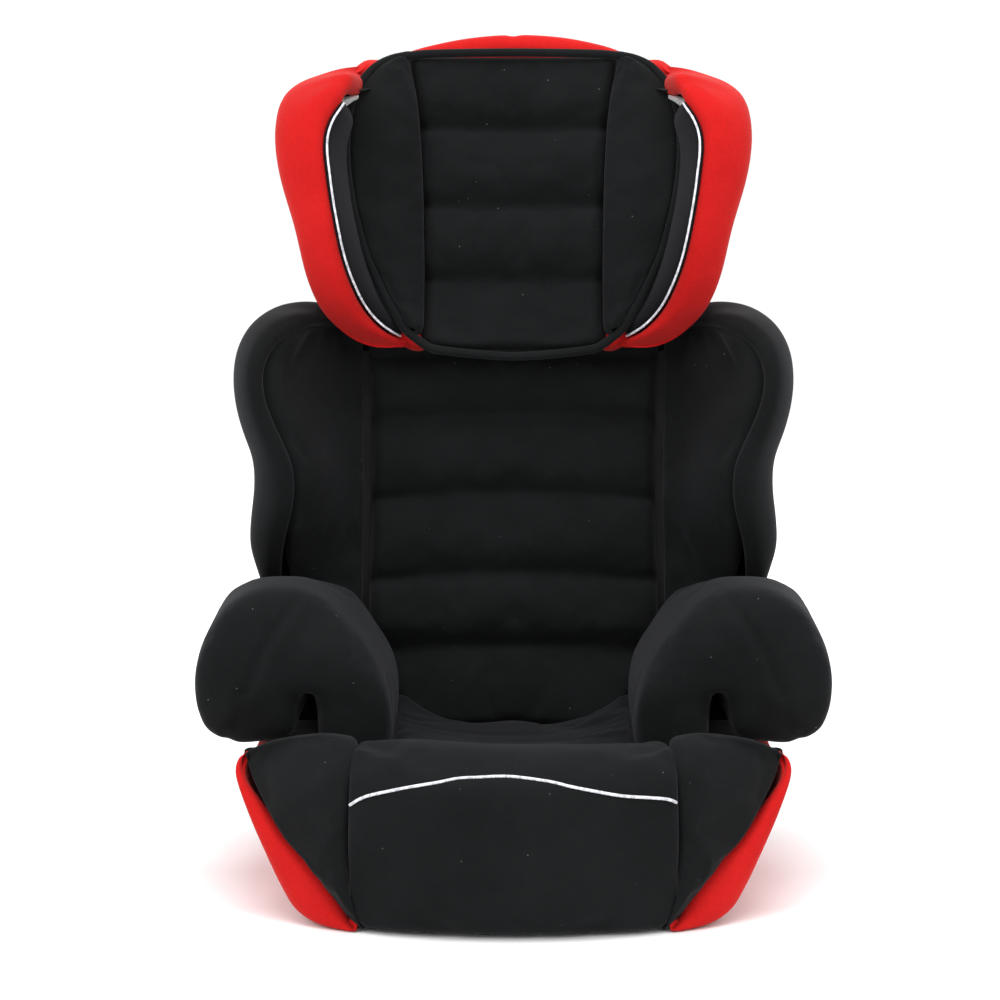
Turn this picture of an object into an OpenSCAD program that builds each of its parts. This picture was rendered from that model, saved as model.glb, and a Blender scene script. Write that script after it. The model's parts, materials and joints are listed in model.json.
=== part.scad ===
// High-back booster seat: a padded base with two armrests, a hinged backrest
// with side wings, and a winged headrest that slides up the backrest.
// X points to the right, Y to the rear and Z up. The origin is on the floor,
// under the middle of the seat.

/* [Seat base] */
// Half of the widest part of the seat base
seat_half_w = 186; // [170:1:210]
// How far each side of the base tapers in towards the floor
foot_in = 84; // [60:1:100]
// Distance of the front of the cushion from the origin
seat_front = 208; // [175:1:230]
// Height of the plastic deck under the cushion
deck_h = 78; // [66:1:90]
// Thickness of the seat padding over the deck, at the rear
cushion_t = 14; // [10:1:20]
// Extra height of the rounded front lip of the cushion
lip_h = 20; // [14:1:26]
// Extra height of the side bolsters over the front lip
bolster_rise = 18; // [10:1:24]
// Radius of the bowed front, seen from above
bow_r = 290; // [260:5:400]
// Thickness of the padded cover on the front and sides
seat_cover_t = 13; // [9:1:16]
// Half of the width of the middle cushion
cushion_half_w = 114; // [90:1:122]

/* [Armrests] */
// How far each armrest reaches beyond the seat base
arm_out = 36; // [28:1:46]
// Height of the top of the armrest above the deck
arm_rise = 143; // [120:1:160]
// Length of the armrest from front to rear
arm_len = 168; // [140:1:185]
// Padding thickness on the armrest
arm_pad_t = 11; // [8:1:14]
// Width of the lap-belt slot under the armrest
belt_slot_w = 20; // [14:1:26]

/* [Backrest] */
// Backward tilt of the backrest at rest, in degrees
back_tilt = 9; // [5:1:14]
// Half of the width of the middle back panel
panel_half_w = 110; // [100:1:120]
// How far each wing of the backrest reaches beyond the middle panel
back_wing_out = 96; // [84:1:112]
// Height of the backrest above its hinge
back_h = 332; // [300:1:400]
// How far the wings reach forward of the hinge line
back_wing_d = 166; // [150:1:180]
// Thickness of the middle back panel
panel_t = 30; // [20:1:32]

/* [Headrest] */
// How far each head wing reaches beyond the middle back panel
head_wing_out = 63; // [56:1:72]
// Height of the headrest
head_h = 240; // [210:1:260]
// How far the head wings reach forward of the hinge line
head_wing_d = 204; // [190:1:215]
// How far the bottom of the headrest overlaps the backrest when lowered
head_overlap = 32; // [20:1:40]
// Half of the width of the middle of the head pad
head_panel_half_w = 64; // [54:1:70]
// How far the headrest slides up
head_travel = 140; // [80:20:140]

/* [Mechanism] */
// Radius of the hinge rod
rod_r = 4; // [3:0.5:5]
// Half of the width of the sliding stem of the headrest
stem_half_w = 45; // [38:1:50]
// Spacing of the headrest height notches
notch_pitch = 20; // [16:1:24]
// Travel of the headrest release handle
handle_travel = 8; // [6:1:9]

/* [Materials and fits] */
// Wall of the plastic shells
wall = 4; // [3:0.5:5]
// Gap between a fabric piece and what it lies on
gap = 0.4; // [0.3:0.1:0.6]
// Radial clearance of a pin in its bore
pin_fit = 0.08; // [0.05:0.01:0.1]
// Clearance of a sliding piece on each side
slide_fit = 0.5; // [0.4:0.1:0.8]

/* [Hidden] */
$fn = 48;
CURVE = 8;            // steps in each curved stretch of an outline
FAR = 900;            // beyond every piece

// Places of the hinge and of the seat padding
hinge_y = 148;
hinge_z = deck_h - 18;
seat_rear = hinge_y - 67;
shell_rear = hinge_y - 16;
cushion_z = deck_h + cushion_t;
lip_z = cushion_z + lip_h;
bolster_z = lip_z + bolster_rise;
side_z = deck_h + 16;

// Armrest
arm_half_w = seat_half_w + arm_out;
arm_z = deck_h + arm_rise;
arm_rear = seat_rear - 8;
arm_front = arm_rear - arm_len;
slot_x = seat_half_w - 42;
slot_in = slot_x - belt_slot_w / 2;
slot_out = slot_x + belt_slot_w / 2;
leg_in = slot_in - 42;
// The cushion widens with the seat: its half width is given for a seat of the nominal half width
nominal_half_w = 186;
cushion_edge = cushion_half_w + seat_half_w - nominal_half_w;
slot_top = arm_z - 74;
tip_z = deck_h + 32;
arm_seat_z = deck_h + gap;

// Backrest, measured from the hinge: u to the rear, v up the backrest
back_half_w = panel_half_w + back_wing_out;
back_cover_t = 8;
shell_u = -34;        // rear face of the backrest shell
back_edge_w = 26;     // width of the cover on the wing's front edge
panel_u = shell_u - wall - gap;

// Headrest
head_v = back_h - head_overlap;
head_half_w = panel_half_w + head_wing_out;
head_cover_t = 10;
head_shell_u = -74;   // rear face of the headrest shell
liner_t = 4;
head_pad_u = head_shell_u - wall - 2 * gap;
head_pad_t = 28;
recess_half_w = head_half_w - 22;
cheek_u = -84;        // the head wing's padding starts here

// Headrest slide
stem_u = [-25, -19];
grip_v = [head_v + 170, head_v + 184];
rib_v = [head_v + 45, grip_v[1] + handle_travel + 13];
stem_v = [110, rib_v[1]];
rib_x = [37, 43];
rack_half_w = 9;
rack_u = [shell_u, -27];
latch_v = 170;
latch_h = 10;
latch_half_w = 12;
latch_pull = 5;
cover_u = [-7, -4];
latch_rear = cover_u[0] - latch_pull - 2.5;
notches = floor(head_travel / notch_pitch) + 1;
grip_half_w = 33;
rod_half_w = 8;

// Hinge
knuckle_r = 11;
hook_x = [58, 82];
lug_x = [[44, 57.4], [82.6, 96]];
rod_half_len = 100;

// Belt guides
guide_x = [102, 138];
guide_v = [head_v + 38, head_v + 92];
guide_u = [-62, -52];
guide_bar = 6;
gate_v = head_v + 77;
gate_x = guide_x[1] - 3;
gate_pin_r = 1.5;

// ---------- outline helpers ----------

// Points of a smooth curve from a to d, without the last one
function curve(a, b, c, d) = [for (i = [0 : CURVE - 1]) let (t = i / CURVE, s = 1 - t)
    s * s * s * a + 3 * s * s * t * b + 3 * s * t * t * c + t * t * t * d];

// A closed outline from its right half, listed from bottom to top
function both_sides(half) = concat(half,
    [for (i = [len(half) - 1 : -1 : 0]) [-half[i][0], half[i][1]]]);

function unit(v) = v / norm(v);

// A counter-clockwise outline moved inwards by d
function inset(p, d) = let (n = len(p)) [for (i = [0 : n - 1]) let (
    a = unit(p[i] - p[(i + n - 1) % n]),
    b = unit(p[(i + 1) % n] - p[i]),
    m = unit([-(a + b)[1], (a + b)[0]]),
    k = m * [-b[1], b[0]]) p[i] + m * d / max(k, 0.6)];

// Outlines drawn in (x, height), (x, depth) and (depth, height)
module front_prism(y0, y1) translate([0, y1, 0]) rotate([90, 0, 0]) linear_extrude(y1 - y0) children();
module plan_prism(z0, z1) translate([0, 0, z0]) linear_extrude(z1 - z0) children();
module side_prism(x0, x1) translate([x0, 0, 0]) rotate([90, 0, 90]) linear_extrude(x1 - x0) children();

module block(x, y, z) translate([x[0], y[0], z[0]]) cube([x[1] - x[0], y[1] - y[0], z[1] - z[0]]);

// A piece drawn for the right side, put on the side wanted
module on_side(side) { if (side < 0) mirror([1, 0, 0]) children(); else children(); }

// The backrest's own frame, at the hinge
module in_back() translate([0, hinge_y, hinge_z]) rotate([-back_tilt, 0, 0]) children();

// A pan-head screw along +Z, its head below z = 0
module screw(len, r = 2) {
    translate([0, 0, -2]) cylinder(r = 2 * r, h = 2);
    cylinder(r = r, h = len);
}

// ---------- seat base ----------

seat_outline = both_sides(concat(
    [[seat_half_w - foot_in - 42, -60]],
    curve([seat_half_w - foot_in, 0], [seat_half_w - foot_in + 40, 0],
        [seat_half_w - 36, 28], [seat_half_w - 20, 62]),
    curve([seat_half_w - 20, 62], [seat_half_w - 8, 86],
        [seat_half_w, 100], [seat_half_w, bolster_z - 20]),
    [[seat_half_w, FAR]]));

// The padding's rounded top corners
pad_top_outline = both_sides(concat([[FAR, -FAR], [FAR, bolster_z - 26]],
    curve([seat_half_w + 1, bolster_z - 22], [seat_half_w, bolster_z - 6],
        [seat_half_w - 6, bolster_z], [seat_half_w - 18, bolster_z])));

// The line on the front face between the black bolster and the red side
seam_outline = both_sides(concat(
    [[seat_half_w - foot_in - 2, -1]],
    curve([seat_half_w - foot_in, 6], [seat_half_w - 62, 32],
        [seat_half_w - 36, 62], [seat_half_w - 22, 90]),
    [[seat_half_w - 11, 114], [seat_half_w - 11, FAR]]));

seat_side_outline = concat([[shell_rear, -60], [shell_rear, FAR], [16 - seat_front, FAR]],
    curve([16 - seat_front, lip_z + 8], [8 - seat_front, lip_z - 10], [-seat_front, 84], [-seat_front, 60]),
    curve([-seat_front, 60], [-seat_front, 35], [8 - seat_front, 12], [24 - seat_front, 0]),
    [[56 - seat_front, -60]]);

// Plan of the seat, bowed at the front
BOW_A = 56;           // half of the bow's angle
bow_outline = concat([[bow_r * sin(BOW_A), FAR], [-bow_r * sin(BOW_A), FAR]],
    [for (i = [-CURVE : CURVE]) let (a = i * BOW_A / CURVE)
        [bow_r * sin(a), bow_r - seat_front - bow_r * cos(a)]]);

// The seat's outside moved in by d
module seat_body(d) intersection() {
    front_prism(-FAR, shell_rear) polygon(inset(seat_outline, d));
    plan_prism(-1, FAR) polygon(inset(bow_outline, d));
    side_prism(-FAR, FAR) polygon(inset(seat_side_outline, d));
    block([-FAR, FAR], [-FAR, shell_rear - d], [0, FAR]);
}

module shell_outside(fit) intersection() {
    seat_body(seat_cover_t - fit);
    block([-FAR, FAR], [-FAR, shell_rear - seat_cover_t + fit], [-1, deck_h + fit]);
}

PAN_T = 3;
SPLIT_Z = 16;         // the pan's rim meets the shell here
screw_y = [38 - seat_front + seat_cover_t + wall, -20, 96];

module base_shell() color("#1b1b1d") difference() {
    union() {
        difference() {
            intersection() {
                shell_outside(0);
                block([-FAR, FAR], [-FAR, FAR], [SPLIT_Z, FAR]);
            }
            intersection() {
                seat_body(seat_cover_t + wall);
                block([-FAR, FAR], [-FAR, FAR], [0, deck_h - wall]);
            }
        }
        // Screw towers inside
        for (x = [-70, 70], y = screw_y)
            translate([x, y, PAN_T]) cylinder(r = 6, h = deck_h - wall - PAN_T + 1);
        // Hinge lugs on the rear wall
        for (x = lug_x, side = [-1, 1]) on_side(side) side_prism(x[0], x[1]) union() {
            translate([hinge_y, hinge_z]) circle(r = knuckle_r);
            polygon([[shell_rear - seat_cover_t - 1, hinge_z - 34], [hinge_y - 4, hinge_z - knuckle_r + 1],
                [hinge_y, hinge_z - 4], [hinge_y, hinge_z + 4], [hinge_y - 8, deck_h - 8],
                [shell_rear - seat_cover_t - 1, deck_h - 4]]);
        }
    }
    rotate([0, 90, 0]) translate([-hinge_z, hinge_y, -FAR]) cylinder(r = rod_r + pin_fit, h = 2 * FAR);
    for (x = [-70, 70], y = screw_y) translate([x, y, 0]) cylinder(r = 2, h = PAN_T + 14);
    for (p = arm_screws, side = [-1, 1]) on_side(side)
        translate([p[0], p[1], deck_h - wall - 1]) cylinder(r = 2.5, h = wall + 2);
}

module base_pan() color("#222224") difference() {
    intersection() {
        seat_body(seat_cover_t);
        block([-FAR, FAR], [-FAR, FAR], [0, SPLIT_Z]);
    }
    intersection() {
        seat_body(seat_cover_t + wall);
        block([-FAR, FAR], [-FAR, FAR], [PAN_T, FAR]);
    }
    for (x = [-70, 70], y = screw_y) translate([x, y, -1]) {
        cylinder(r = 2.2, h = PAN_T + 2);
        cylinder(r = 4.2, h = 3);
    }
}

module pan_screws() color("#9a9a9a") for (x = [-70, 70], y = screw_y)
    translate([x, y, 2]) screw(14);

// Height of the padding from front to rear, as a side outline
function pad_side(lip, rear_z, front) = concat(
    [[seat_rear, -1], [seat_rear, rear_z], [arm_front - 10, rear_z + 4]],
    curve([80 - seat_front, lip - 6], [50 - seat_front, lip + 2], [22 - seat_front, lip + 2], [front - seat_front, lip - 14]),
    [[front - seat_front, lip - 14], [-FAR, lip - 14], [-FAR, -1]]);

module seat_padding(x0, x1, lip, rear_z, front) difference() {
    intersection() {
        seat_body(0);
        side_prism(x0, x1) polygon(pad_side(lip, rear_z, front));
        front_prism(-FAR, FAR) polygon(pad_top_outline);
        block([-FAR, FAR], [-FAR, seat_rear], [2, FAR]);
    }
    shell_outside(gap);
    block([-FAR, FAR], [-FAR, FAR], [-1, 2]);
}

module arm_room(side) on_side(side) block([leg_in - 7, slot_in + 1.5],
    [arm_front - gap, FAR], [deck_h - 1, FAR]);

module seat_cushion() color("#17171a") difference() {
    intersection() {
        seat_padding(-cushion_edge, cushion_edge, lip_z, cushion_z, 2);
        front_prism(-FAR, FAR) polygon(seam_outline);
    }
    for (side = [-1, 1]) arm_room(side);
    piping_ring(gap);
}

module seat_bolster(side) color("#1d1d20") on_side(side) difference() {
    intersection() {
        seat_padding(cushion_edge + gap, FAR, bolster_z, side_z, 12);
        front_prism(-FAR, FAR) polygon(seam_outline);
    }
    arm_room(1);
}
module seat_bolster_left() seat_bolster(-1);
module seat_bolster_right() seat_bolster(1);

module seat_side(side) color("#c81e1e") on_side(side) difference() {
    seat_padding(cushion_edge - 30, FAR, bolster_z, side_z, 12);
    front_prism(-FAR, FAR) polygon(inset(seam_outline, -gap));
}
module seat_side_left() seat_side(-1);
module seat_side_right() seat_side(1);

// Silver cord over the front of the cushion
PIPE_W = 3;
function piping_z(x) = lip_z - 8 - 20 * pow(x / cushion_edge, 2);
piping_top = [for (i = [-10 : 10]) let (x = i / 10 * (cushion_edge - 2)) [x, piping_z(x)]];
module piping_ring(grow) intersection() {
    difference() {
        seat_body(grow > 0 ? -2 : -0.8);
        seat_body(2 + grow);
    }
    front_prism(-FAR, 40 - seat_front) polygon(concat(piping_top,
        [for (i = [20 : -1 : 0]) piping_top[i] - [0, PIPE_W]]));
}
module seat_piping() color("#d8d8dc") intersection() {
    piping_ring(0);
    block([1 - cushion_edge, cushion_edge - 1], [-FAR, 0], [0, FAR]);
}

// ---------- armrests ----------

arm_top = [(slot_x + arm_half_w) / 2 - 22, arm_z];
arm_outline = concat(
    [[leg_in, arm_seat_z]],
    [[slot_in, arm_seat_z], [slot_in, slot_top - 4], [slot_in + 4, slot_top]],
    [[slot_out - 4, slot_top], [slot_out, slot_top - 4], [slot_out, tip_z + 8], [slot_out + 5, tip_z + 2]],
    [[arm_half_w - 30, tip_z - 1], [arm_half_w - 18, tip_z]],
    curve([arm_half_w - 8, tip_z + 4], [arm_half_w + 4, tip_z + 36], [arm_half_w - 1, arm_z - 46],
        [arm_half_w - 18, arm_z - 17]),
    curve([arm_half_w - 18, arm_z - 17], [arm_half_w - 34, arm_z + 5], arm_top + [-12, 4], arm_top + [-28, -10]),
    curve(arm_top + [-28, -10], arm_top + [-42, -22], [leg_in + 22, slot_top + 34], [leg_in + 8, slot_top + 12]),
    curve([leg_in + 8, slot_top + 12], [leg_in - 6, slot_top - 6], [leg_in - 6, deck_h + 40], [leg_in, deck_h + 22]));

arm_core_outline = let (t = arm_pad_t, leg_out = slot_in - t / 2) concat(
    [[leg_in + t, arm_seat_z], [leg_out, arm_seat_z], [leg_out, slot_top + t], [slot_out + t, slot_top + t],
        [slot_out + t, tip_z + t + 4], [arm_half_w - t - 12, tip_z + t + 4],
        [arm_half_w - t - 7, slot_top + 10], [arm_half_w - t - 20, arm_z - t - 22]],
    [arm_top - [0, t + 4], arm_top - [24, t + 22], [leg_in + t + 14, slot_top + 20], [leg_in + t, slot_top - 10]]);

// Side view of the armrest: the top falls to the rear and the front is rounded
function arm_side(d) = inset(concat(
    [[arm_rear, deck_h - 20], [arm_rear, arm_z - 38]],
    curve([arm_rear - 4, arm_z - 24], [arm_rear - 40, arm_z - 10], [arm_front + 60, arm_z + 6], [arm_front + 30, arm_z]),
    curve([arm_front + 30, arm_z], [arm_front + 8, arm_z - 6], [arm_front, arm_z - 34], [arm_front, arm_z - 60]),
    [[arm_front, deck_h - 20]]), d);

arm_screws = [[leg_in + arm_pad_t + 9, arm_front + 50], [leg_in + arm_pad_t + 9, arm_rear - 40]];

module armrest_core(side) color("#2a2a2c") on_side(side) difference() {
    intersection() {
        front_prism(arm_front + arm_pad_t, arm_rear - arm_pad_t) polygon(arm_core_outline);
        side_prism(0, FAR) polygon(arm_side(arm_pad_t));
        block([0, FAR], [-FAR, FAR], [arm_seat_z, FAR]);
    }
    for (p = arm_screws) translate([p[0], p[1], deck_h - 1]) cylinder(r = 2, h = 22);
}
module armrest_core_left() armrest_core(-1);
module armrest_core_right() armrest_core(1);

module armrest_pad(side) color("#1b1b1e") on_side(side) difference() {
    intersection() {
        front_prism(arm_front, arm_rear) polygon(arm_outline);
        side_prism(0, FAR) polygon(arm_side(0));
    }
    intersection() {
        front_prism(arm_front + arm_pad_t - gap, arm_rear - arm_pad_t + gap) polygon(inset(arm_core_outline, -gap));
        side_prism(0, FAR) polygon(arm_side(arm_pad_t - gap));
    }
}
module armrest_pad_left() armrest_pad(-1);
module armrest_pad_right() armrest_pad(1);

module armrest_screws() color("#9a9a9a") for (p = arm_screws, side = [-1, 1]) on_side(side)
    translate([p[0], p[1], deck_h - wall]) screw(16);

// ---------- hinge ----------

module hinge_rod() color("#b8bcc0") translate([0, hinge_y, hinge_z]) rotate([0, 90, 0])
    translate([0, 0, -rod_half_len]) cylinder(r = rod_r, h = 2 * rod_half_len);

module rod_caps() color("#303032") for (side = [-1, 1]) on_side(side) translate([0, hinge_y, hinge_z])
    rotate([0, 90, 0]) translate([0, 0, lug_x[1][1] + gap]) difference() {
        cylinder(r = rod_r + 4, h = 6);
        translate([0, 0, -1]) cylinder(r = rod_r, h = rod_half_len - lug_x[1][1] - gap + 1);
    }

// Rubber stops on the deck that the backrest leans on when upright
module rest_stops() color("#101010") for (x = [-30, 30])
    translate([x, shell_rear - 26, deck_h]) cylinder(r = 7, h = 2.2);

// ---------- backrest ----------

back_outline = both_sides(concat(
    curve([panel_half_w - 2, 0.07 * back_h], [back_half_w - 60, 0.11 * back_h],
        [back_half_w - 30, 0.24 * back_h], [back_half_w - 19, 0.355 * back_h]),
    curve([back_half_w - 19, 0.355 * back_h], [back_half_w - 9, 0.45 * back_h],
        [back_half_w - 9, 0.52 * back_h], [back_half_w - 14, 0.59 * back_h]),
    curve([back_half_w - 14, 0.59 * back_h], [back_half_w - 19, 0.67 * back_h],
        [back_half_w, 0.75 * back_h], [back_half_w, 0.855 * back_h]),
    curve([back_half_w, 0.855 * back_h], [back_half_w, 0.95 * back_h],
        [back_half_w - 20, back_h], [back_half_w - 50, back_h]),
    [[panel_half_w - 20, back_h]]));

// Plan of a shell whose rear corners are cut, its rear at u
function shell_plan(half_w, u, cut) = [[-half_w, -FAR], [half_w, -FAR], [half_w, u - cut],
    [half_w - cut, u], [cut - half_w, u], [-half_w, u - cut]];

back_side_outline = concat([[FAR, -60], [FAR, back_h + 60], [-54, back_h + 60]],
    curve([-54, back_h + 2], [-120, back_h + 6], [-back_wing_d, back_h - 12], [-back_wing_d, 0.84 * back_h]),
    curve([-back_wing_d, 0.84 * back_h], [-back_wing_d, 0.72 * back_h],
        [20 - back_wing_d, 0.68 * back_h], [20 - back_wing_d, 0.56 * back_h]),
    curve([20 - back_wing_d, 0.56 * back_h], [20 - back_wing_d, 0.47 * back_h],
        [28 - back_wing_d, 0.43 * back_h], [-112, 0.41 * back_h]),
    [[-88, 0.37 * back_h], [-80, 0.2 * back_h], [-76, -60]]);

module back_hollow(d) intersection() {
    front_prism(-FAR, 0) polygon(inset(back_outline, d));
    plan_prism(-FAR, FAR) polygon(inset(shell_plan(back_half_w, shell_u + back_cover_t + gap, 44), d));
}
module back_env(d) intersection() {
    back_hollow(d);
    side_prism(-FAR, FAR) polygon(inset(back_side_outline, d));
}

back_fold = back_cover_t + gap;          // the shell starts this far in
pad_in = back_fold + wall + gap;         // the padding starts this far in

// The way of the headrest: no backrest padding stands in it
module head_way() block([-recess_half_w, recess_half_w], [-FAR, head_shell_u + 2], [head_v - 12, FAR]);

rail_v = [100, back_h - 7];

module back_shell() color("#1b1b1d") in_back() difference() {
    union() {
        difference() {
            back_env(back_fold);
            back_hollow(back_fold + wall);
            head_way();
            block([-panel_half_w - 10, panel_half_w + 10], [-FAR, shell_u - wall], [-FAR, 60]);
        }
        // Stiffening ribs behind the panel
        for (x = [88, 126], side = [-1, 1]) on_side(side)
            block([x, x + 3], [shell_u - 1, -16], [54, back_h - 14]);
        for (v = [42, 84]) block([-54, 54], [shell_u - 1, -22], [v, v + 3]);
    }
    for (v = rail_screw_v, side = [-1, 1]) on_side(side) translate([rail_screw_x, shell_u - wall - 1, v])
        rotate([-90, 0, 0]) cylinder(r = 2, h = wall + 2);
    for (v = hook_screw_v, side = [-1, 1]) on_side(side) translate([(hook_x[0] + hook_x[1]) / 2, shell_u - wall - 1, v])
        rotate([-90, 0, 0]) cylinder(r = 2.2, h = wall + 2);
}

// Hooks that carry the backrest on the rod
hook_screw_v = [46, 62];
module hinge_hooks() color("#2c2c2e") in_back() for (side = [-1, 1]) on_side(side) difference() {
    side_prism(hook_x[0], hook_x[1]) union() {
        circle(r = knuckle_r);
        polygon([[0, knuckle_r], [-knuckle_r, 4], [shell_u + gap, 34], [shell_u + gap, 70], [shell_u + 9, 70]]);
    }
    rotate([0, 90, 0]) cylinder(r = rod_r + pin_fit, h = FAR);
    for (v = hook_screw_v) translate([(hook_x[0] + hook_x[1]) / 2, shell_u, v])
        rotate([-90, 0, 0]) cylinder(r = 2, h = 9);
    block([65, 70], [shell_u, 0], [30, 80]);
}

module hook_screws() color("#9a9a9a") in_back() for (v = hook_screw_v, side = [-1, 1]) on_side(side)
    translate([(hook_x[0] + hook_x[1]) / 2, shell_u - wall, v]) rotate([-90, 0, 0]) screw(11, 1.9);

// The middle panel ends in a rounded tongue that meets the seat
back_pad_outline = both_sides(concat(
    curve([panel_half_w - 66, 15], [panel_half_w - 36, 17], [panel_half_w - 8, 40], [panel_half_w, 88]),
    [[panel_half_w, back_h]]));

module back_pad() color("#17171a") in_back() difference() {
    intersection() {
        front_prism(panel_u - panel_t, panel_u) polygon(back_pad_outline);
        block([-FAR, FAR], [-FAR, FAR], [0, back_h - pad_in]);
    }
    for (v = concat(rail_screw_v, hook_screw_v), side = [-1, 1], x = [rail_screw_x, (hook_x[0] + hook_x[1]) / 2])
        on_side(side) translate([x, panel_u - 4, v]) rotate([-90, 0, 0]) cylinder(r = 4.6, h = 6);
}

bolster_plan = [[panel_half_w + gap, 0], [panel_half_w + gap, panel_u - panel_t + 2],
    [panel_half_w + 0.44 * back_wing_out, panel_u - panel_t - 34],
    [back_half_w - 38, -back_wing_d], [back_half_w, -FAR], [FAR, -FAR], [FAR, 0]];

module back_bolster(side) color("#1c1c20") in_back() on_side(side) difference() {
    intersection() {
        back_env(pad_in);
        plan_prism(-FAR, FAR) polygon(bolster_plan);
    }
    head_way();
}
module back_bolster_left() back_bolster(-1);
module back_bolster_right() back_bolster(1);

module back_wing_cover(side) color("#232327") in_back() on_side(side) difference() {
    intersection() {
        back_env(0);
        block([panel_half_w + 12, FAR], [-FAR, -62], [40, FAR]);
    }
    back_env(back_cover_t);
    front_prism(-FAR, FAR) polygon(inset(back_outline, back_edge_w));
    head_way();
}
module back_wing_cover_left() back_wing_cover(-1);
module back_wing_cover_right() back_wing_cover(1);

rail_screw_x = stem_half_w - 1;
rail_screw_v = [120, back_h - 30];
module guide_rail(side) color("#303034") in_back() on_side(side) difference() {
    plan_prism(rail_v[0], rail_v[1]) polygon([
        [stem_half_w - 7, shell_u], [stem_half_w + 8, shell_u], [stem_half_w + 8, stem_u[1] + 5],
        [stem_half_w - 7, stem_u[1] + 5], [stem_half_w - 7, stem_u[1] + slide_fit],
        [stem_half_w + slide_fit, stem_u[1] + slide_fit], [stem_half_w + slide_fit, stem_u[0] - slide_fit],
        [stem_half_w - 7, stem_u[0] - slide_fit]]);
    for (v = rail_screw_v) translate([rail_screw_x, shell_u - 1, v]) rotate([-90, 0, 0]) cylinder(r = 2, h = 6);
}
module guide_rail_left() guide_rail(-1);
module guide_rail_right() guide_rail(1);

module height_rack() color("#3a3a3e") in_back() difference() {
    block([-rack_half_w, rack_half_w], rack_u, [latch_v - 14, latch_v + (notches - 1) * notch_pitch + 14]);
    for (i = [0 : notches - 1])
        block([-FAR, FAR], [rack_u[1] - 4.5, 0],
            [latch_v + i * notch_pitch - latch_h / 2 - slide_fit, latch_v + i * notch_pitch + latch_h / 2 + slide_fit]);
}

// ---------- headrest ----------

head_outline = both_sides(concat(
    [[head_half_w - 99, head_v]],
    curve([head_half_w - 88, head_v - 1], [head_half_w - 60, head_v - 3],
        [head_half_w - 38, head_v + 12], [head_half_w - 30, head_v + 30]),
    curve([head_half_w - 30, head_v + 30], [head_half_w - 18, head_v + 62],
        [head_half_w - 13, head_v + 90], [head_half_w - 4, head_v + 122]),
    curve([head_half_w - 4, head_v + 122], [head_half_w + 2, head_v + 142],
        [head_half_w + 4, head_v + 156], [head_half_w - 5, head_v + 172]),
    curve([head_half_w - 5, head_v + 172], [head_half_w - 16, head_v + 186],
        [head_half_w - 44, head_v + 200], [head_half_w - 69, head_v + 206]),
    curve([head_half_w - 69, head_v + 206], [head_half_w - 80, head_v + 222],
        [head_half_w - 102, head_v + head_h - 5], [head_half_w - 112, head_v + head_h - 3]),
    [[30, head_v + head_h]]));

// Inner edge of the red cover on the front of the wings, where the piping runs
head_inner_outline = both_sides(concat(
    [[head_half_w - 108, head_v - 2]],
    curve([head_half_w - 90, head_v + 2], [head_half_w - 66, head_v + 8],
        [head_half_w - 54, head_v + 42], [head_half_w - 48, head_v + 70]),
    curve([head_half_w - 48, head_v + 70], [head_half_w - 42, head_v + 98],
        [head_half_w - 32, head_v + 122], [head_half_w - 38, head_v + 152]),
    curve([head_half_w - 38, head_v + 152], [head_half_w - 42, head_v + 166],
        [head_half_w - 52, head_v + 176], [head_half_w - 68, head_v + 184]),
    [[head_half_w - 70, FAR]]));

head_side_outline = concat(
    [[FAR, head_v - 60], [FAR, head_v + head_h + 60], [head_shell_u - 4, head_v + head_h + 60]],
    curve([head_shell_u - 4, head_v + 210], [-112, head_v + 204],
        [34 - head_wing_d, head_v + 196], [14 - head_wing_d, head_v + 174]),
    curve([14 - head_wing_d, head_v + 174], [-head_wing_d, head_v + 160],
        [-head_wing_d, head_v + 116], [22 - head_wing_d, head_v + 78]),
    curve([22 - head_wing_d, head_v + 78], [40 - head_wing_d, head_v + 42],
        [-122, head_v + 14], [-100, head_v + 2]),
    [[-90, head_v - 4], [head_shell_u - 4, head_v - 60]]);

module head_hollow(d) intersection() {
    front_prism(-FAR, 0) polygon(inset(head_outline, d));
    plan_prism(-FAR, FAR) polygon(inset(shell_plan(head_half_w, head_shell_u + head_cover_t + gap, 40), d));
}
module head_env(d) intersection() {
    head_hollow(d);
    side_prism(-FAR, FAR) polygon(inset(head_side_outline, d));
}

head_fold = head_cover_t + gap;
foam_in = head_fold + wall + gap;

// The middle of the headrest, left open for the head pad
module pad_way() {
    block([-head_panel_half_w - 24, head_panel_half_w + 24], [-FAR, head_shell_u - wall], [-FAR, head_v + 40]);
    block([-head_panel_half_w - 24, head_panel_half_w + 24], [-FAR, head_shell_u - wall], [head_v + 190, FAR]);
}

module head_shell() color("#1b1b1d") in_back() difference() {
    head_env(head_fold);
    head_hollow(head_fold + wall);
    pad_way();
    // Finger window behind the release handle
    block([-grip_half_w - 2, grip_half_w + 2], [-FAR, FAR], [grip_v[0] - 30, grip_v[1] + handle_travel + 4]);
    for (p = carriage_screws) translate([p[0], head_shell_u - wall - 1, p[1]])
        rotate([-90, 0, 0]) cylinder(r = 2, h = wall + 2);
}

module head_foam(side) color("#e8e6e0") in_back() on_side(side) difference() {
    intersection() {
        head_env(foam_in);
        block([head_half_w - 92, FAR], [-FAR, cheek_u], [head_v + 8, head_v + 200]);
    }
    front_prism(-FAR, FAR) polygon(inset(head_inner_outline, -liner_t - gap));
}
module head_foam_left() head_foam(-1);
module head_foam_right() head_foam(1);

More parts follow.
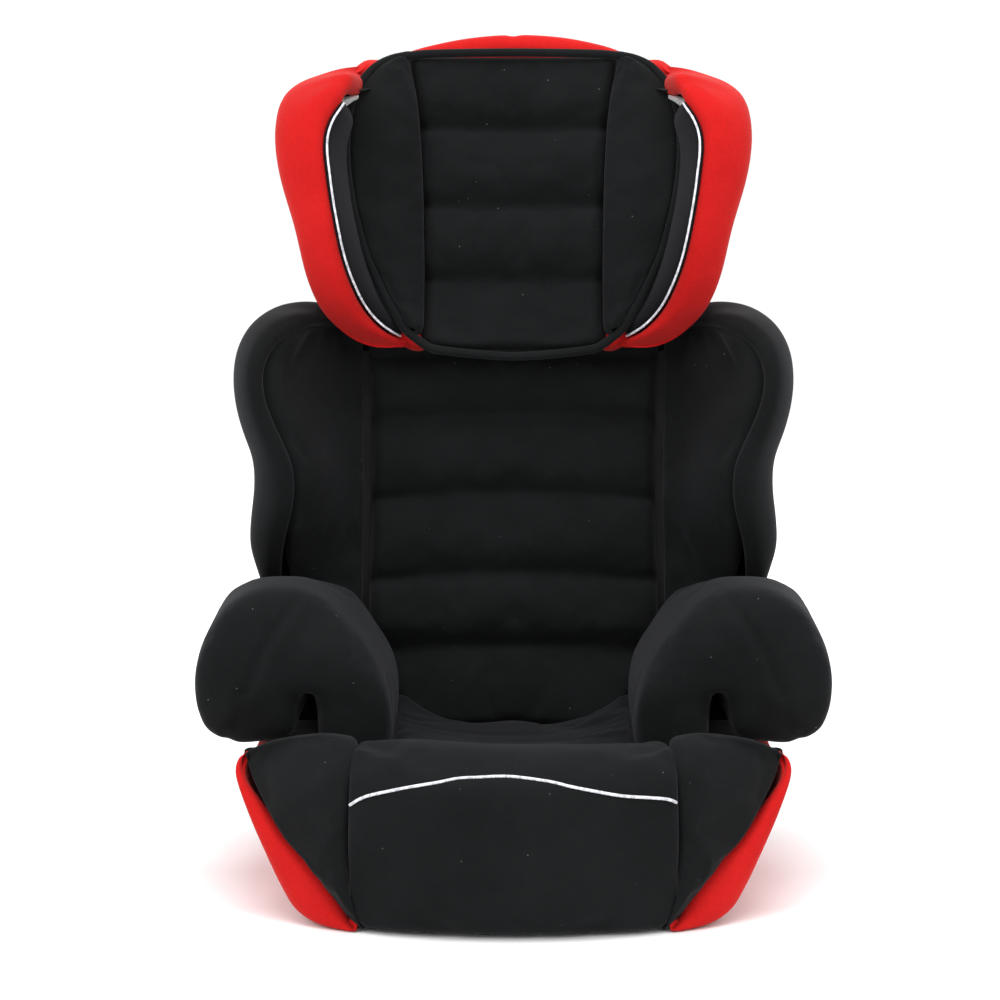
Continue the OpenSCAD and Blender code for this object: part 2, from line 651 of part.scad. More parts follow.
top_half_w = head_half_w - 69;
module head_wing_cover(side) color("#d42020") in_back() on_side(side) difference() {
    intersection() {
        head_env(0);
        block([head_half_w - 96, FAR], [-FAR, cheek_u], [head_v - 10, FAR]);
    }
    head_env(head_cover_t);
    front_prism(-FAR, FAR) polygon(head_inner_outline);
    block([0, top_half_w + gap], [-FAR, FAR], [head_v + 150, FAR]);
}
module head_wing_cover_left() head_wing_cover(-1);
module head_wing_cover_right() head_wing_cover(1);

module head_top_cover() color("#d42020") in_back() difference() {
    intersection() {
        head_env(0);
        block([-top_half_w, top_half_w], [head_shell_u - wall - gap, FAR], [rib_v[1] + 2, FAR]);
    }
    head_env(head_cover_t);
    head_hollow(head_cover_t);
}

module head_liner(side) color("#141416") in_back() on_side(side) difference() {
    intersection() {
        head_env(foam_in);
        front_prism(-FAR, FAR) polygon(inset(head_inner_outline, -liner_t));
        block([head_half_w - 92, FAR], [-FAR, cheek_u], [head_v + 12, head_v + 176]);
    }
    front_prism(-FAR, FAR) polygon(head_inner_outline);
}
module head_liner_left() head_liner(-1);
module head_liner_right() head_liner(1);

module head_piping(side) color("#d8d8dc") in_back() on_side(side) difference() {
    intersection() {
        head_env(0);
        front_prism(-FAR, FAR) polygon(inset(head_inner_outline, gap));
        block([head_half_w - 88, FAR], [-FAR, cheek_u - 8], [head_v, head_v + 176]);
    }
    head_env(PIPE_W);
    front_prism(-FAR, FAR) polygon(inset(head_inner_outline, gap + PIPE_W));
}
module head_piping_left() head_piping(-1);
module head_piping_right() head_piping(1);

head_pad_v = [head_v - 6, head_v + 222];
module head_pad() color("#141418") in_back() difference() {
    block([-head_panel_half_w, head_panel_half_w], [head_pad_u - head_pad_t, head_pad_u], head_pad_v);
    for (p = carriage_screws) translate([p[0], head_pad_u - 4, p[1]]) rotate([-90, 0, 0]) cylinder(r = 4.6, h = 6);
}

cheek_outline = let (w = head_panel_half_w + gap) concat(
    [[w, head_v + 14]],
    curve([w + 16, head_v + 14], [w + 36, head_v + 50], [w + 46, head_v + 100], [w + 54, head_v + 140]),
    curve([w + 54, head_v + 140], [w + 64, head_v + 180], [w + 50, head_v + 212], [w + 14, head_v + 220]),
    [[w, head_v + 221]]);
cheek_plan = let (w = head_panel_half_w + gap) [[w, cheek_u + 2], [w, head_pad_u - head_pad_t],
    [w + 24, head_pad_u - head_pad_t - 22], [w + 46, 20 - head_wing_d], [w + 70, 14 - head_wing_d], [w + 70, cheek_u + 2]];

module head_bolster(side) color("#1c1c20") in_back() on_side(side) difference() {
    intersection() {
        front_prism(-FAR, 0) polygon(cheek_outline);
        plan_prism(-FAR, FAR) polygon(cheek_plan);
        front_prism(-FAR, FAR) polygon(inset(head_inner_outline, PIPE_W + 2 * gap));
    }
    intersection() {
        head_env(-gap);
        block([head_panel_half_w + 20, FAR], [-FAR, FAR], [head_v + 170, FAR]);
    }
}
module head_bolster_left() head_bolster(-1);
module head_bolster_right() head_bolster(1);

// ---------- headrest slide ----------

carriage_screws = [for (x = [-40, 40], v = [rib_v[0] + 12, rib_v[1] - 12]) [x, v]];

module head_carriage() color("#2c2c30") in_back() difference() {
    union() {
        block([-stem_half_w, stem_half_w], stem_u, stem_v);
        for (side = [-1, 1]) on_side(side) block(rib_x, [head_shell_u, stem_u[0]], rib_v);
        block([-rib_x[0], rib_x[0]], [head_shell_u, stem_u[1]], [rib_v[1] - 8, rib_v[1]]);
    }
    // Latch window and finger window
    block([-latch_half_w - slide_fit, latch_half_w + slide_fit], [-FAR, FAR],
        [latch_v - latch_h / 2 - slide_fit, latch_v + latch_h / 2 + slide_fit]);
    block([2 - rib_x[0], rib_x[0] - 2], [stem_u[0] - 1, FAR], [grip_v[0] - 34, rib_v[1] - 8]);
    for (p = carriage_screws) translate([p[0], head_shell_u - 1, p[1]]) rotate([-90, 0, 0]) cylinder(r = 2, h = 12);
}

module carriage_screws() color("#9a9a9a") in_back() for (p = carriage_screws)
    translate([p[0], head_shell_u - wall, p[1]]) rotate([-90, 0, 0]) screw(14, 1.9);

cover_v = [latch_v - 30, head_v + 28];
module mechanism_cover() color("#242427") in_back() {
    block([-30, 30], cover_u, cover_v);
    for (side = [-1, 1]) on_side(side) block([26, 30], [stem_u[1], cover_u[0]], cover_v);
    for (v = [cover_v[0], cover_v[1] - 3]) block([11, 26], [stem_u[1], cover_u[0]], [v, v + 3]);
    for (v = [cover_v[0], cover_v[1] - 3]) block([-26, -11], [stem_u[1], cover_u[0]], [v, v + 3]);
}

module release_handle() color("#c42222") in_back() {
    // Grip with rounded ends, then the flat pull rod
    translate([0, -30, (grip_v[0] + grip_v[1]) / 2]) rotate([0, 90, 0])
        translate([0, 0, -grip_half_w + 2]) cylinder(r = (grip_v[1] - grip_v[0]) / 2, h = 2 * grip_half_w - 4);
    block([-rod_half_w, rod_half_w], [-18, -15], [latch_v + latch_h / 2 + 2, grip_v[0] + 7]);
    block([-rod_half_w, rod_half_w], [-30, -15], [grip_v[0] + 3, grip_v[1] - 3]);
}

module latch_bar() color("#7d8186") in_back() {
    block([-latch_half_w, latch_half_w], [rack_u[1] + slide_fit, latch_rear], [latch_v - latch_h / 2, latch_v + latch_h / 2]);
}

// A leaf spring behind the latch bar, riveted to it, with its ends on the cover
module latch_spring() color("#b9bdc2") in_back() plan_prism(latch_v - 4, latch_v + 4) polygon([
    [-22, latch_rear + 1.3], [-10, latch_rear], [10, latch_rear], [22, latch_rear + 1.3],
    [22, latch_rear + 1.9], [10, latch_rear + 0.6], [-10, latch_rear + 0.6], [-22, latch_rear + 1.9]]);

// ---------- belt guides ----------

module belt_guide(side) color("#b81c1c") in_back() on_side(side) difference() {
    union() {
        block([84, guide_x[0] + 2], [head_shell_u, guide_u[1]], [guide_v[0] + 6, guide_v[1] - 6]);
        difference() {
            block(guide_x, guide_u, guide_v);
            block([guide_x[0] + guide_bar, guide_x[1] - guide_bar], [-FAR, FAR],
                [guide_v[0] + guide_bar, guide_v[1] - guide_bar]);
        }
        translate([gate_x, guide_u[1], gate_v]) rotate([90, 0, 0]) cylinder(r = 5, h = guide_u[1] - guide_u[0]);
    }
    // Gap that the gate closes, with a fork for its eye
    block([guide_x[1] - guide_bar - 1, FAR], [-FAR, FAR], [guide_v[0] + guide_bar + 8, gate_v - 5.6]);
    translate([gate_x, guide_u[1] - 2, gate_v]) rotate([90, 0, 0]) cylinder(r = 5.4, h = guide_u[1] - guide_u[0] - 4);
    block([gate_x - 3, FAR], [guide_u[0] + 2, guide_u[1] - 2], [gate_v - 8, gate_v]);
    translate([gate_x, 0, gate_v]) rotate([90, 0, 0]) cylinder(r = gate_pin_r, h = FAR);
}
module belt_guide_left() belt_guide(-1);
module belt_guide_right() belt_guide(1);

module gate_pins() color("#b9bdc2") in_back() for (side = [-1, 1]) on_side(side)
    translate([gate_x, guide_u[1], gate_v]) rotate([90, 0, 0])
        cylinder(r = gate_pin_r, h = guide_u[1] - guide_u[0]);

module belt_gate(side) color("#303034") in_back() on_side(side) difference() {
    union() {
        translate([gate_x, guide_u[1] - 2 - slide_fit, gate_v]) rotate([90, 0, 0])
            cylinder(r = 4.6, h = guide_u[1] - guide_u[0] - 4 - 2 * slide_fit);
        block([gate_x - 2.4, gate_x + 2.4], [guide_u[0] + 2 + slide_fit, guide_u[1] - 2 - slide_fit],
            [guide_v[0] + guide_bar + 8 + slide_fit, gate_v]);
    }
    translate([gate_x, 0, gate_v]) rotate([90, 0, 0]) cylinder(r = gate_pin_r + pin_fit, h = FAR);
}
module belt_gate_left() belt_gate(-1);
module belt_gate_right() belt_gate(1);

base_shell();
base_pan();
pan_screws();
seat_cushion();
seat_bolster_left();
seat_bolster_right();
seat_side_left();
seat_side_right();
seat_piping();
armrest_core_left();
armrest_core_right();
armrest_pad_left();
armrest_pad_right();
armrest_screws();
hinge_rod();
rod_caps();
rest_stops();
back_shell();
hinge_hooks();
hook_screws();
back_pad();
back_bolster_left();
back_bolster_right();
back_wing_cover_left();
back_wing_cover_right();
guide_rail_left();
guide_rail_right();
height_rack();
head_shell();
head_carriage();
carriage_screws();
mechanism_cover();
head_foam_left();
head_foam_right();
head_wing_cover_left();
head_wing_cover_right();
head_top_cover();
head_liner_left();
head_liner_right();
head_piping_left();
head_piping_right();
head_pad();
head_bolster_left();
head_bolster_right();
belt_guide_left();
belt_guide_right();
gate_pins();
release_handle();
latch_bar();
latch_spring();
belt_gate_left();
belt_gate_right();
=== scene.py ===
import json
import math

import bmesh
import bpy
import numpy as np
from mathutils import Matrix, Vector
from mathutils.bvhtree import BVHTree


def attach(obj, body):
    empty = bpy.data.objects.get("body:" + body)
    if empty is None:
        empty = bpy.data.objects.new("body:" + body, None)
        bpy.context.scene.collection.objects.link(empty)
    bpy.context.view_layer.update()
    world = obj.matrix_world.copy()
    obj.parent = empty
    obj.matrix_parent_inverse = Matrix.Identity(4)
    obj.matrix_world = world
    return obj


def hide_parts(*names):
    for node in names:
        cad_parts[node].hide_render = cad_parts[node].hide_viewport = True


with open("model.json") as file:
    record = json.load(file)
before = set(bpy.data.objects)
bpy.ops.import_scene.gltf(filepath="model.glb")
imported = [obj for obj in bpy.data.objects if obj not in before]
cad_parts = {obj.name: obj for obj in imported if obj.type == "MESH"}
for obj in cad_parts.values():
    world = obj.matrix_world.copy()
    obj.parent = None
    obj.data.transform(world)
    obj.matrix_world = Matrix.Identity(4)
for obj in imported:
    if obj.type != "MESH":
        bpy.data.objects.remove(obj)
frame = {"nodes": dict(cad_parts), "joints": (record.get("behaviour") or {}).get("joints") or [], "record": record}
NODES = frame["nodes"]
JOINTS = {j["name"]: j for j in frame["joints"]}
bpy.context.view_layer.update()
scene = bpy.context.scene
RNG = np.random.default_rng(7)

MM = 0.001
# The backrest's own frame: u to the rear and v up the backrest, from the hinge
PIVOT = np.array(JOINTS["recline"]["pos_m"]) / MM
UP = np.array(JOINTS["head_height"]["axis"])
REAR = np.array([0.0, UP[2], -UP[1]])


def in_base(p):
    """Points (x, y, z) in millimetres as they are."""
    return np.asarray(p, float)


def in_back(p):
    """Points (x, u, v) of the backrest's frame, as points (x, y, z), in millimetres."""
    p = np.asarray(p, float)
    return PIVOT * [0, 1, 1] + p[..., :1] * [1, 0, 0] + p[..., 1:2] * REAR + p[..., 2:3] * UP


# ---------------------------------------------------------------- curves and grids

FAR = 1e3
PACE = 1e5            # far longer than any curve, so that even steps follow the control points


def smooth_step(t):
    """Rises from 0 to 1 as t does, level at both ends."""
    t = np.clip(t, 0, 1)
    return t * t * (3 - 2 * t)


def spline(points, n, dense=24):
    """n evenly spaced points on a smooth curve through the points."""
    p = np.asarray(points, float)
    ends = np.vstack([2 * p[0] - p[1], p, 2 * p[-1] - p[-2]])
    out = []
    for i in range(len(p) - 1):
        a, b, c, d = ends[i:i + 4]
        t = np.linspace(0, 1, dense, endpoint=False)[:, None]
        out.append(0.5 * (2 * b + (c - a) * t + (2 * a - 5 * b + 4 * c - d) * t ** 2
                          + (3 * b - a - 3 * c + d) * t ** 3))
    out = np.vstack(out + [p[-1:]])
    length = np.concatenate([[0], np.cumsum(np.linalg.norm(np.diff(out, axis=0), axis=1))])
    at = np.linspace(0, length[-1], n)
    return np.stack([np.interp(at, length, out[:, k]) for k in range(out.shape[1])], 1)


def skin(curves, rows, cols, matched=False):
    """A grid of points, rows along the curves and columns across them. Matched curves stay level."""
    if matched:
        step = np.linspace(0, 1, len(curves[0]))
        paced = [np.column_stack([step * PACE, c]) for c in curves]
        along = [spline(c, rows)[:, 1:] for c in paced]
    else:
        along = [spline(c, rows) for c in curves]
    return np.stack([spline([c[i] for c in along], cols) for i in range(rows)])


def table(pairs):
    """A function that interpolates smoothly between (place, value) pairs."""
    p = spline(pairs, 200)
    order = np.argsort(p[:, 0])
    return lambda x: np.interp(x, p[order, 0], p[order, 1])


def normals(grid):
    """Unit normals of a grid, evened out with those around them."""
    n = np.cross(np.gradient(grid, axis=0), np.gradient(grid, axis=1))
    for _ in range(3):
        pad = np.pad(n, ((1, 1), (1, 1), (0, 0)), mode="edge")
        n = (pad[:-2, 1:-1] + pad[2:, 1:-1] + pad[1:-1, :-2] + pad[1:-1, 2:]) / 4
    return n / np.maximum(np.linalg.norm(n, axis=-1, keepdims=True), 1e-9)


def edge_distance(grid):
    """How far each point of the grid is from the grid's nearest edge."""
    d = np.full(grid.shape[:2], FAR)
    for axis in (0, 1):
        step = np.linalg.norm(np.diff(grid, axis=axis), axis=-1)
        pad = [(0, 0), (0, 0)]
        pad[axis] = (1, 0)
        run = np.cumsum(np.pad(step, pad), axis=axis)
        total = run[-1:] if axis == 0 else run[:, -1:]
        d = np.minimum(d, np.minimum(run, total - run))
    return d


# ---------------------------------------------------------------- meshes

LAY_FROM = 400        # how far off a line starts when it is laid on a piece


def new_mesh(name, verts_mm, faces, material, mirrored=False):
    """A smooth shaded object from points in millimetres."""
    verts = np.asarray(verts_mm, float) * MM
    if mirrored:
        verts = verts * [-1, 1, 1]
    mesh = bpy.data.meshes.new(name)
    mesh.from_pydata(verts.tolist(), [], faces)
    bm = bmesh.new()
    bm.from_mesh(mesh)
    bmesh.ops.remove_doubles(bm, verts=bm.verts, dist=1e-5)
    bmesh.ops.recalc_face_normals(bm, faces=bm.faces)
    bm.to_mesh(mesh)
    bm.free()
    mesh.polygons.foreach_set("use_smooth", [True] * len(mesh.polygons))
    mesh.materials.append(material)
    obj = bpy.data.objects.new(name, mesh)
    scene.collection.objects.link(obj)
    return obj


def coords(obj):
    """The object's vertices, in metres."""
    co = np.zeros(len(obj.data.vertices) * 3)
    obj.data.vertices.foreach_get("co", co)
    return co.reshape(-1, 3)


def set_coords(obj, co):
    """Moves the object's vertices to co, in metres."""
    obj.data.vertices.foreach_set("co", np.asarray(co, np.float32).ravel())
    obj.data.update()


def subdivide(obj):
    """Smooths the finished piece with one level of subdivision."""
    mod = obj.modifiers.new("fine", "SUBSURF")
    mod.levels = 1
    mod.render_levels = 1


def puff(obj, held, pressure, cap_mm, slack, frames=16):
    """Fills the piece with air as cloth. Held vertices stay, and none moves further than cap_mm."""
    group = obj.vertex_groups.new(name="held")
    group.add([int(i) for i in held], 1.0, "REPLACE")
    rest = coords(obj)
    mod = obj.modifiers.new("air", "CLOTH")
    cloth = mod.settings
    cloth.quality = 5
    cloth.mass = 0.2
    cloth.tension_stiffness = 14
    cloth.compression_stiffness = 14
    cloth.shear_stiffness = 5
    cloth.bending_stiffness = 0.4
    cloth.use_pressure = True
    cloth.uniform_pressure_force = pressure
    cloth.vertex_group_mass = "held"
    cloth.shrink_min = -slack
    cloth.effector_weights.gravity = 0
    mod.point_cache.frame_start = 1
    mod.point_cache.frame_end = frames
    for f in range(1, frames + 1):
        scene.frame_set(f)
    moved = obj.evaluated_get(bpy.context.evaluated_depsgraph_get())
    co = np.zeros(len(rest) * 3)
    moved.data.vertices.foreach_get("co", co)
    step = co.reshape(-1, 3) - rest
    size = np.linalg.norm(step, axis=1, keepdims=True)
    cap = cap_mm * MM
    step *= cap * np.tanh(size / cap) / np.maximum(size, 1e-9)
    obj.modifiers.remove(mod)
    scene.frame_set(1)
    set_coords(obj, rest + step)


def slab(name, grid, thick, to_world, material, side, edge, drop=0.8, relief=None,
         mirrored=False, air=None, held_below=None):
    """A padded piece: the grid is its outer skin, thick is its depth behind it.

    Side says which way the skin faces. The skin rounds over within edge of its rim and falls back
    by drop times the thickness there. Relief is added to it, air says how it is puffed, and points
    whose relief is under held_below are sewn down and don't puff.
    """
    rows, cols = grid.shape[:2]
    n = normals(grid) * side
    d = edge_distance(grid)
    near = 1 - np.clip(d / edge, 0, 1)
    offset = -drop * thick * (1 - np.sqrt(1 - near ** 2))
    extra = relief(grid) if relief is not None else np.zeros((rows, cols))
    outer = grid + n * (offset + extra)[..., None]
    inner = grid - n * thick
    verts = np.vstack([to_world(outer).reshape(-1, 3), to_world(inner).reshape(-1, 3)])
    at = np.arange(rows * cols).reshape(rows, cols)
    back = at + rows * cols
    faces = []
    for i in range(rows - 1):
        for j in range(cols - 1):
            faces.append((at[i, j], at[i, j + 1], at[i + 1, j + 1], at[i + 1, j]))
            faces.append((back[i, j], back[i + 1, j], back[i + 1, j + 1], back[i, j + 1]))
    ring = [*at[0, :-1], *at[:-1, -1], *at[-1, :0:-1], *at[:0:-1, 0]]
    for a, b in zip(ring, ring[1:] + ring[:1]):
        faces.append((a, a + rows * cols, b + rows * cols, b))
    faces = [tuple(int(v) for v in f) for f in faces]
    obj = new_mesh(name, verts, faces, material, mirrored)
    if air is not None:
        # Doubled points are merged at pinched ends, so held points are found by place
        hold = np.zeros((rows, cols), bool)
        hold[d < 0.6 * edge] = True
        if held_below is not None:
            hold[extra < held_below] = True
        flip = [-1, 1, 1] if mirrored else [1, 1, 1]
        held_at = {tuple(np.round(v * flip * MM, 5)) for v in
                   np.vstack([to_world(outer)[hold], to_world(inner).reshape(-1, 3)])}
        held = [i for i, v in enumerate(coords(obj)) if tuple(np.round(v, 5)) in held_at]
        puff(obj, held, *air)
    subdivide(obj)
    return obj


def tube(name, points, radius, material, closed=False, sides=8, mirrored=False):
    """A round cord along points (x, y, z) in millimetres."""
    p = np.asarray(points, float)
    if closed:
        tangent = np.roll(p, -1, 0) - np.roll(p, 1, 0)
    else:
        tangent = np.gradient(p, axis=0)
    tangent /= np.maximum(np.linalg.norm(tangent, axis=1, keepdims=True), 1e-9)
    normal = np.cross(tangent[0], [0.3, 1, 0.2])
    frames = []
    for t in tangent:
        normal = normal - t * (normal @ t)
        normal /= np.linalg.norm(normal)
        frames.append((normal, np.cross(t, normal)))
    angle = np.arange(sides) * 2 * math.pi / sides
    verts = [c + radius * (math.cos(a) * m + math.sin(a) * b) for c, (m, b) in zip(p, frames) for a in angle]
    faces = []
    count = len(p)
    for i in range(count if closed else count - 1):
        k = (i + 1) % count
        for j in range(sides):
            m = (j + 1) % sides
            faces.append((i * sides + j, i * sides + m, k * sides + m, k * sides + j))
    if not closed:
        faces.append(tuple(range(sides)))
        faces.append(tuple(range((count - 1) * sides, count * sides)))
    return new_mesh(name, verts, faces, material, mirrored)


def laid_on(obj, points, direction, lift):
    """Points moved along direction until they lie lift above the finished piece, in millimetres."""
    mesh = obj.evaluated_get(bpy.context.evaluated_depsgraph_get()).to_mesh()
    verts = [v.co.copy() for v in mesh.vertices]
    tree = BVHTree.FromPolygons(verts, [list(f.vertices) for f in mesh.polygons])
    way = Vector(direction).normalized()
    out = []
    for p in points:
        start = Vector(np.asarray(p) * MM) - way * LAY_FROM * MM
        hit, _, _, _ = tree.ray_cast(start, way)
        if hit is not None:
            out.append(np.array(hit) / MM - np.array(way) * lift)
    return np.array(out)


# ---------------------------------------------------------------- materials


class Shader:
    """Builds a node material a step at a time."""

    def __init__(self, name):
        self.material = bpy.data.materials.new(name)
        self.material.use_nodes = True
        self.nodes = self.material.node_tree.nodes
        self.links = self.material.node_tree.links
        self.bsdf = self.nodes["Principled BSDF"]
        self.place = self.add("ShaderNodeTexCoord").outputs["Object"]
        self.height = None

    def add(self, kind, **inputs):
        """A new node with its inputs set or linked."""
        node = self.nodes.new(kind)
        for key, value in inputs.items():
            self.put(node.inputs[key.replace("_", " ")], value)
        return node

    def put(self, socket, value):
        if isinstance(value, bpy.types.NodeSocket):
            self.links.new(value, socket)
        else:
            socket.default_value = value

    def noise(self, scale, detail=3.0, rough=0.55, stretch=None):
        node = self.add("ShaderNodeTexNoise", Scale=scale, Detail=detail, Roughness=rough)
        self.put(node.inputs["Vector"], self.stretched(stretch))
        return node.outputs["Fac"]

    def cells(self, scale, stretch=None, randomness=1.0):
        node = self.add("ShaderNodeTexVoronoi", Scale=scale, Randomness=randomness)
        self.put(node.inputs["Vector"], self.stretched(stretch))
        return node.outputs["Distance"]

    def stretched(self, stretch):
        if stretch is None:
            return self.place
        node = self.add("ShaderNodeMapping")
        self.put(node.inputs["Vector"], self.place)
        self.put(node.inputs["Scale"], stretch)
        return node.outputs["Vector"]

    def ramp(self, value, *stops):
        node = self.add("ShaderNodeValToRGB")
        self.put(node.inputs["Fac"], value)
        ramp = node.color_ramp
        while len(ramp.elements) < len(stops):
            ramp.elements.new(0.5)
        for element, (at, colour) in zip(ramp.elements, stops):
            element.position = at
            element.color = colour if len(colour) == 4 else (*colour, 1.0)
        return node.outputs["Color"]

    def between(self, value, low, high):
        node = self.add("ShaderNodeMapRange")
        self.put(node.inputs["Value"], value)
        self.put(node.inputs["To Min"], low)
        self.put(node.inputs["To Max"], high)
        return node.outputs["Result"]

    def maths(self, operation, a, b):
        node = self.add("ShaderNodeMath")
        node.operation = operation
        self.put(node.inputs[0], a)
        self.put(node.inputs[1], b)
        return node.outputs["Value"]

    def mixed(self, share, a, b):
        node = self.nodes.new("ShaderNodeMix")
        node.data_type = "RGBA"
        self.put(node.inputs["Factor"], share)
        self.put(node.inputs["A"], a)
        self.put(node.inputs["B"], b)
        return node.outputs["Result"]

    def bump(self, height, distance, strength):
        """Adds a layer of bump over those already there."""
        node = self.add("ShaderNodeBump", Strength=strength, Distance=distance)
        self.put(node.inputs["Height"], height)
        if self.height is not None:
            self.put(node.inputs["Normal"], self.height)
        self.height = node.outputs["Normal"]

    def done(self, colour, rough, **plain):
        """Finishes the material. Plain values are the same all over."""
        self.put(self.bsdf.inputs["Base Color"], colour)
        self.put(self.bsdf.inputs["Roughness"], rough)
        for key, value in plain.items():
            self.bsdf.inputs[key.replace("_", " ")].default_value = value
        if self.height is not None:
            self.put(self.bsdf.inputs["Normal"], self.height)
        return self.material


def knit(name, dark, light, sheen, sheen_tint, lint=0.0):
    """A fine stretch knit: small loops, soft mottling and a little lint."""
    s = Shader(name)
    loops = s.cells(900.0, (1.0, 1.0, 0.72), 0.35)
    fuzz = s.noise(420.0, 4.0)
    mottle = s.noise(14.0, 4.0, 0.6)
    tone = s.maths("ADD", s.maths("MULTIPLY", mottle, 0.65), s.maths("MULTIPLY", fuzz, 0.35))
    colour = s.ramp(tone, (0.32, dark), (0.68, light))
    if lint:
        specks = s.cells(75.0)
        share = s.ramp(specks, (0.0, (lint,) * 3), (0.012, (lint,) * 3), (0.03, (0.0,) * 3))
        colour = s.mixed(share, colour, (0.5, 0.5, 0.52, 1.0))
    s.bump(mottle, 0.0012, 0.5)
    s.bump(loops, 0.0004, 0.55)
    s.bump(fuzz, 0.0003, 0.35)
    rough = s.between(fuzz, 0.8, 1.0)
    return s.done(colour, rough, Sheen_Weight=sheen, Sheen_Roughness=0.45, Sheen_Tint=sheen_tint,
                  Specular_IOR_Level=0.10)


def moulded(name, dark, light, rough_low, rough_high, grain=0.00012):
    """Moulded plastic with fine grain, faint flow marks and scuffs."""
    s = Shader(name)
    flow = s.noise(9.0, 4.0)
    grains = s.noise(1400.0, 2.0)
    scuffs = s.noise(60.0, 6.0, 0.7, (1.0, 0.25, 3.0))
    colour = s.ramp(s.maths("ADD", s.maths("MULTIPLY", flow, 0.6), s.maths("MULTIPLY", scuffs, 0.4)),
                    (0.35, dark), (0.7, light))
    s.bump(grains, grain, 0.6)
    s.bump(scuffs, 0.0001, 0.25)
    return s.done(colour, s.between(scuffs, rough_low, rough_high))


def metal(name):
    """Zinc-plated steel, faintly mottled."""
    s = Shader(name)
    spangle = s.cells(240.0)
    brushed = s.noise(300.0, 4.0, 0.6, (0.15, 1.0, 1.0))
    colour = s.ramp(spangle, (0.1, (0.45, 0.46, 0.47)), (0.8, (0.62, 0.63, 0.64)))
    s.bump(brushed, 0.00005, 0.5)
    return s.done(colour, s.between(brushed, 0.28, 0.5), Metallic=1.0)


def cord_weave(name, dark, light):
    """Shiny woven cord with slanting strands."""
    s = Shader(name)
    strands = s.noise(520.0, 2.0, 0.5, (1.0, 1.0, 0.35))
    colour = s.ramp(strands, (0.35, dark), (0.6, light))
    s.bump(strands, 0.0005, 0.8)
    return s.done(colour, s.between(strands, 0.35, 0.6), Sheen_Weight=0.3)


BLACK = knit("black_knit", (0.0030, 0.0033, 0.0035), (0.0075, 0.0082, 0.0085), 0.06, (0.8, 0.82, 0.9, 1.0),
             lint=0.5)
BLACK_LINER = knit("black_liner", (0.003, 0.003, 0.0035), (0.007, 0.007, 0.008), 0.06, (0.8, 0.8, 0.9, 1.0))
RED = knit("red_knit", (0.39, 0.006, 0.006), (0.52, 0.011, 0.010), 0.12, (1.0, 0.45, 0.4, 1.0))
SILVER = cord_weave("silver_cord", (0.42, 0.42, 0.46), (0.78, 0.78, 0.84))
SHELL = moulded("shell_plastic_grain", (0.012, 0.012, 0.013), (0.02, 0.02, 0.022), 0.42, 0.62)
DARK = moulded("mechanism_plastic_grain", (0.028, 0.028, 0.031), (0.045, 0.045, 0.05), 0.4, 0.6)
RED_PLASTIC = moulded("red_plastic_gloss", (0.42, 0.008, 0.008), (0.52, 0.014, 0.012), 0.22, 0.38, 0.00006)
STEEL = metal("zinc_steel")
RUBBER = moulded("rubber_matt", (0.012, 0.012, 0.012), (0.02, 0.02, 0.02), 0.7, 0.9)
FOAM = moulded("foam_beads", (0.7, 0.7, 0.68), (0.85, 0.85, 0.83), 0.7, 0.9, 0.0006)

SLOT_MATERIAL = {"shell_plastic": SHELL, "mechanism_plastic": DARK, "red_plastic": RED_PLASTIC,
                 "steel": STEEL, "rubber": RUBBER, "black_fabric": BLACK, "red_fabric": RED,
                 "silver_piping": SILVER, "foam": FOAM}
NODE_SLOT = {row["node"]: row["material_slot"] for row in frame["record"]["subparts"]}
for node, obj in NODES.items():
    obj.data.materials.clear()
    obj.data.materials.append(SLOT_MATERIAL[NODE_SLOT[node]])


FLOOR_GAP = 0.0004    # metres between the base's covers and the floor


def place(obj, body, replaced=()):
    """Puts a finished piece on its body, keeps base pieces just above the floor, and hides the parts that it
    replaces.
    """
    if body == "base":
        co = coords(obj)
        co[:, 2] = np.maximum(co[:, 2], FLOOR_GAP)
        set_coords(obj, co)
    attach(obj, body)
    if replaced:
        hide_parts(*replaced)
    return obj


SIDES = (("right", False), ("left", True))

# ---------------------------------------------------------------- seat base

SEAT_FRONT = -208.0
SEAT_REAR = 80.0
BOW_RADIUS = 290.0    # of the front, seen from above
CUSHION_HALF_W = 112.5
CUSHION_LIFT = 0.6    # of the piping above the cushion
PIPING_RADIUS = 1.1


def bow(x):
    """How far the bowed front falls back at x."""
    return BOW_RADIUS - np.sqrt(BOW_RADIUS ** 2 - np.asarray(x, float) ** 2)


# How far behind the front each height z lies
front_inset = table([(-2, 6), (6, 1.5), (16, 0), (35, 0), (60, 0), (84, 1), (104, 6), (122, 15), (135, 26)])


def front_point(x, z, deeper=0.0):
    """A point of the front face at x and z."""
    return (x, SEAT_FRONT + float(bow(x)) + float(front_inset(z)) + deeper, z)


def cushion_profile(x, lip, dip):
    """The middle cushion at x, from the bottom edge over the lip and the hollow of the seat to the rear."""
    rear_x = x * 0.76
    side_rise = 24 * max(0.0, abs(x) / CUSHION_HALF_W - 0.45) ** 1.5
    return [front_point(0.91 * x, 1), front_point(0.985 * x, 16), front_point(x, 50), front_point(x, 80),
            front_point(x, lip - 13, 1), (x, SEAT_FRONT + float(bow(x)) + 26, lip),
            (0.98 * x, -148, lip + 1), (0.93 * x, -112, lip - 2 - dip),
            (rear_x, -80, 100 - dip + 0.6 * side_rise), (rear_x, -20, 95 - dip + side_rise),
            (rear_x, 40, 93 + 1.6 * side_rise),
            (rear_x, SEAT_REAR, 91 + 2.4 * side_rise)]


# Place, depth and phase of the creases across the seat
CREASES = ((-118, 1.6, 0.4), (-92, 1.0, 2.1), (-70, 1.3, 1.2), (-22, 0.8, 3.0), (6, 1.2, 5.1), (24, 0.9, 0.2),
           (52, 0.7, 4.0))


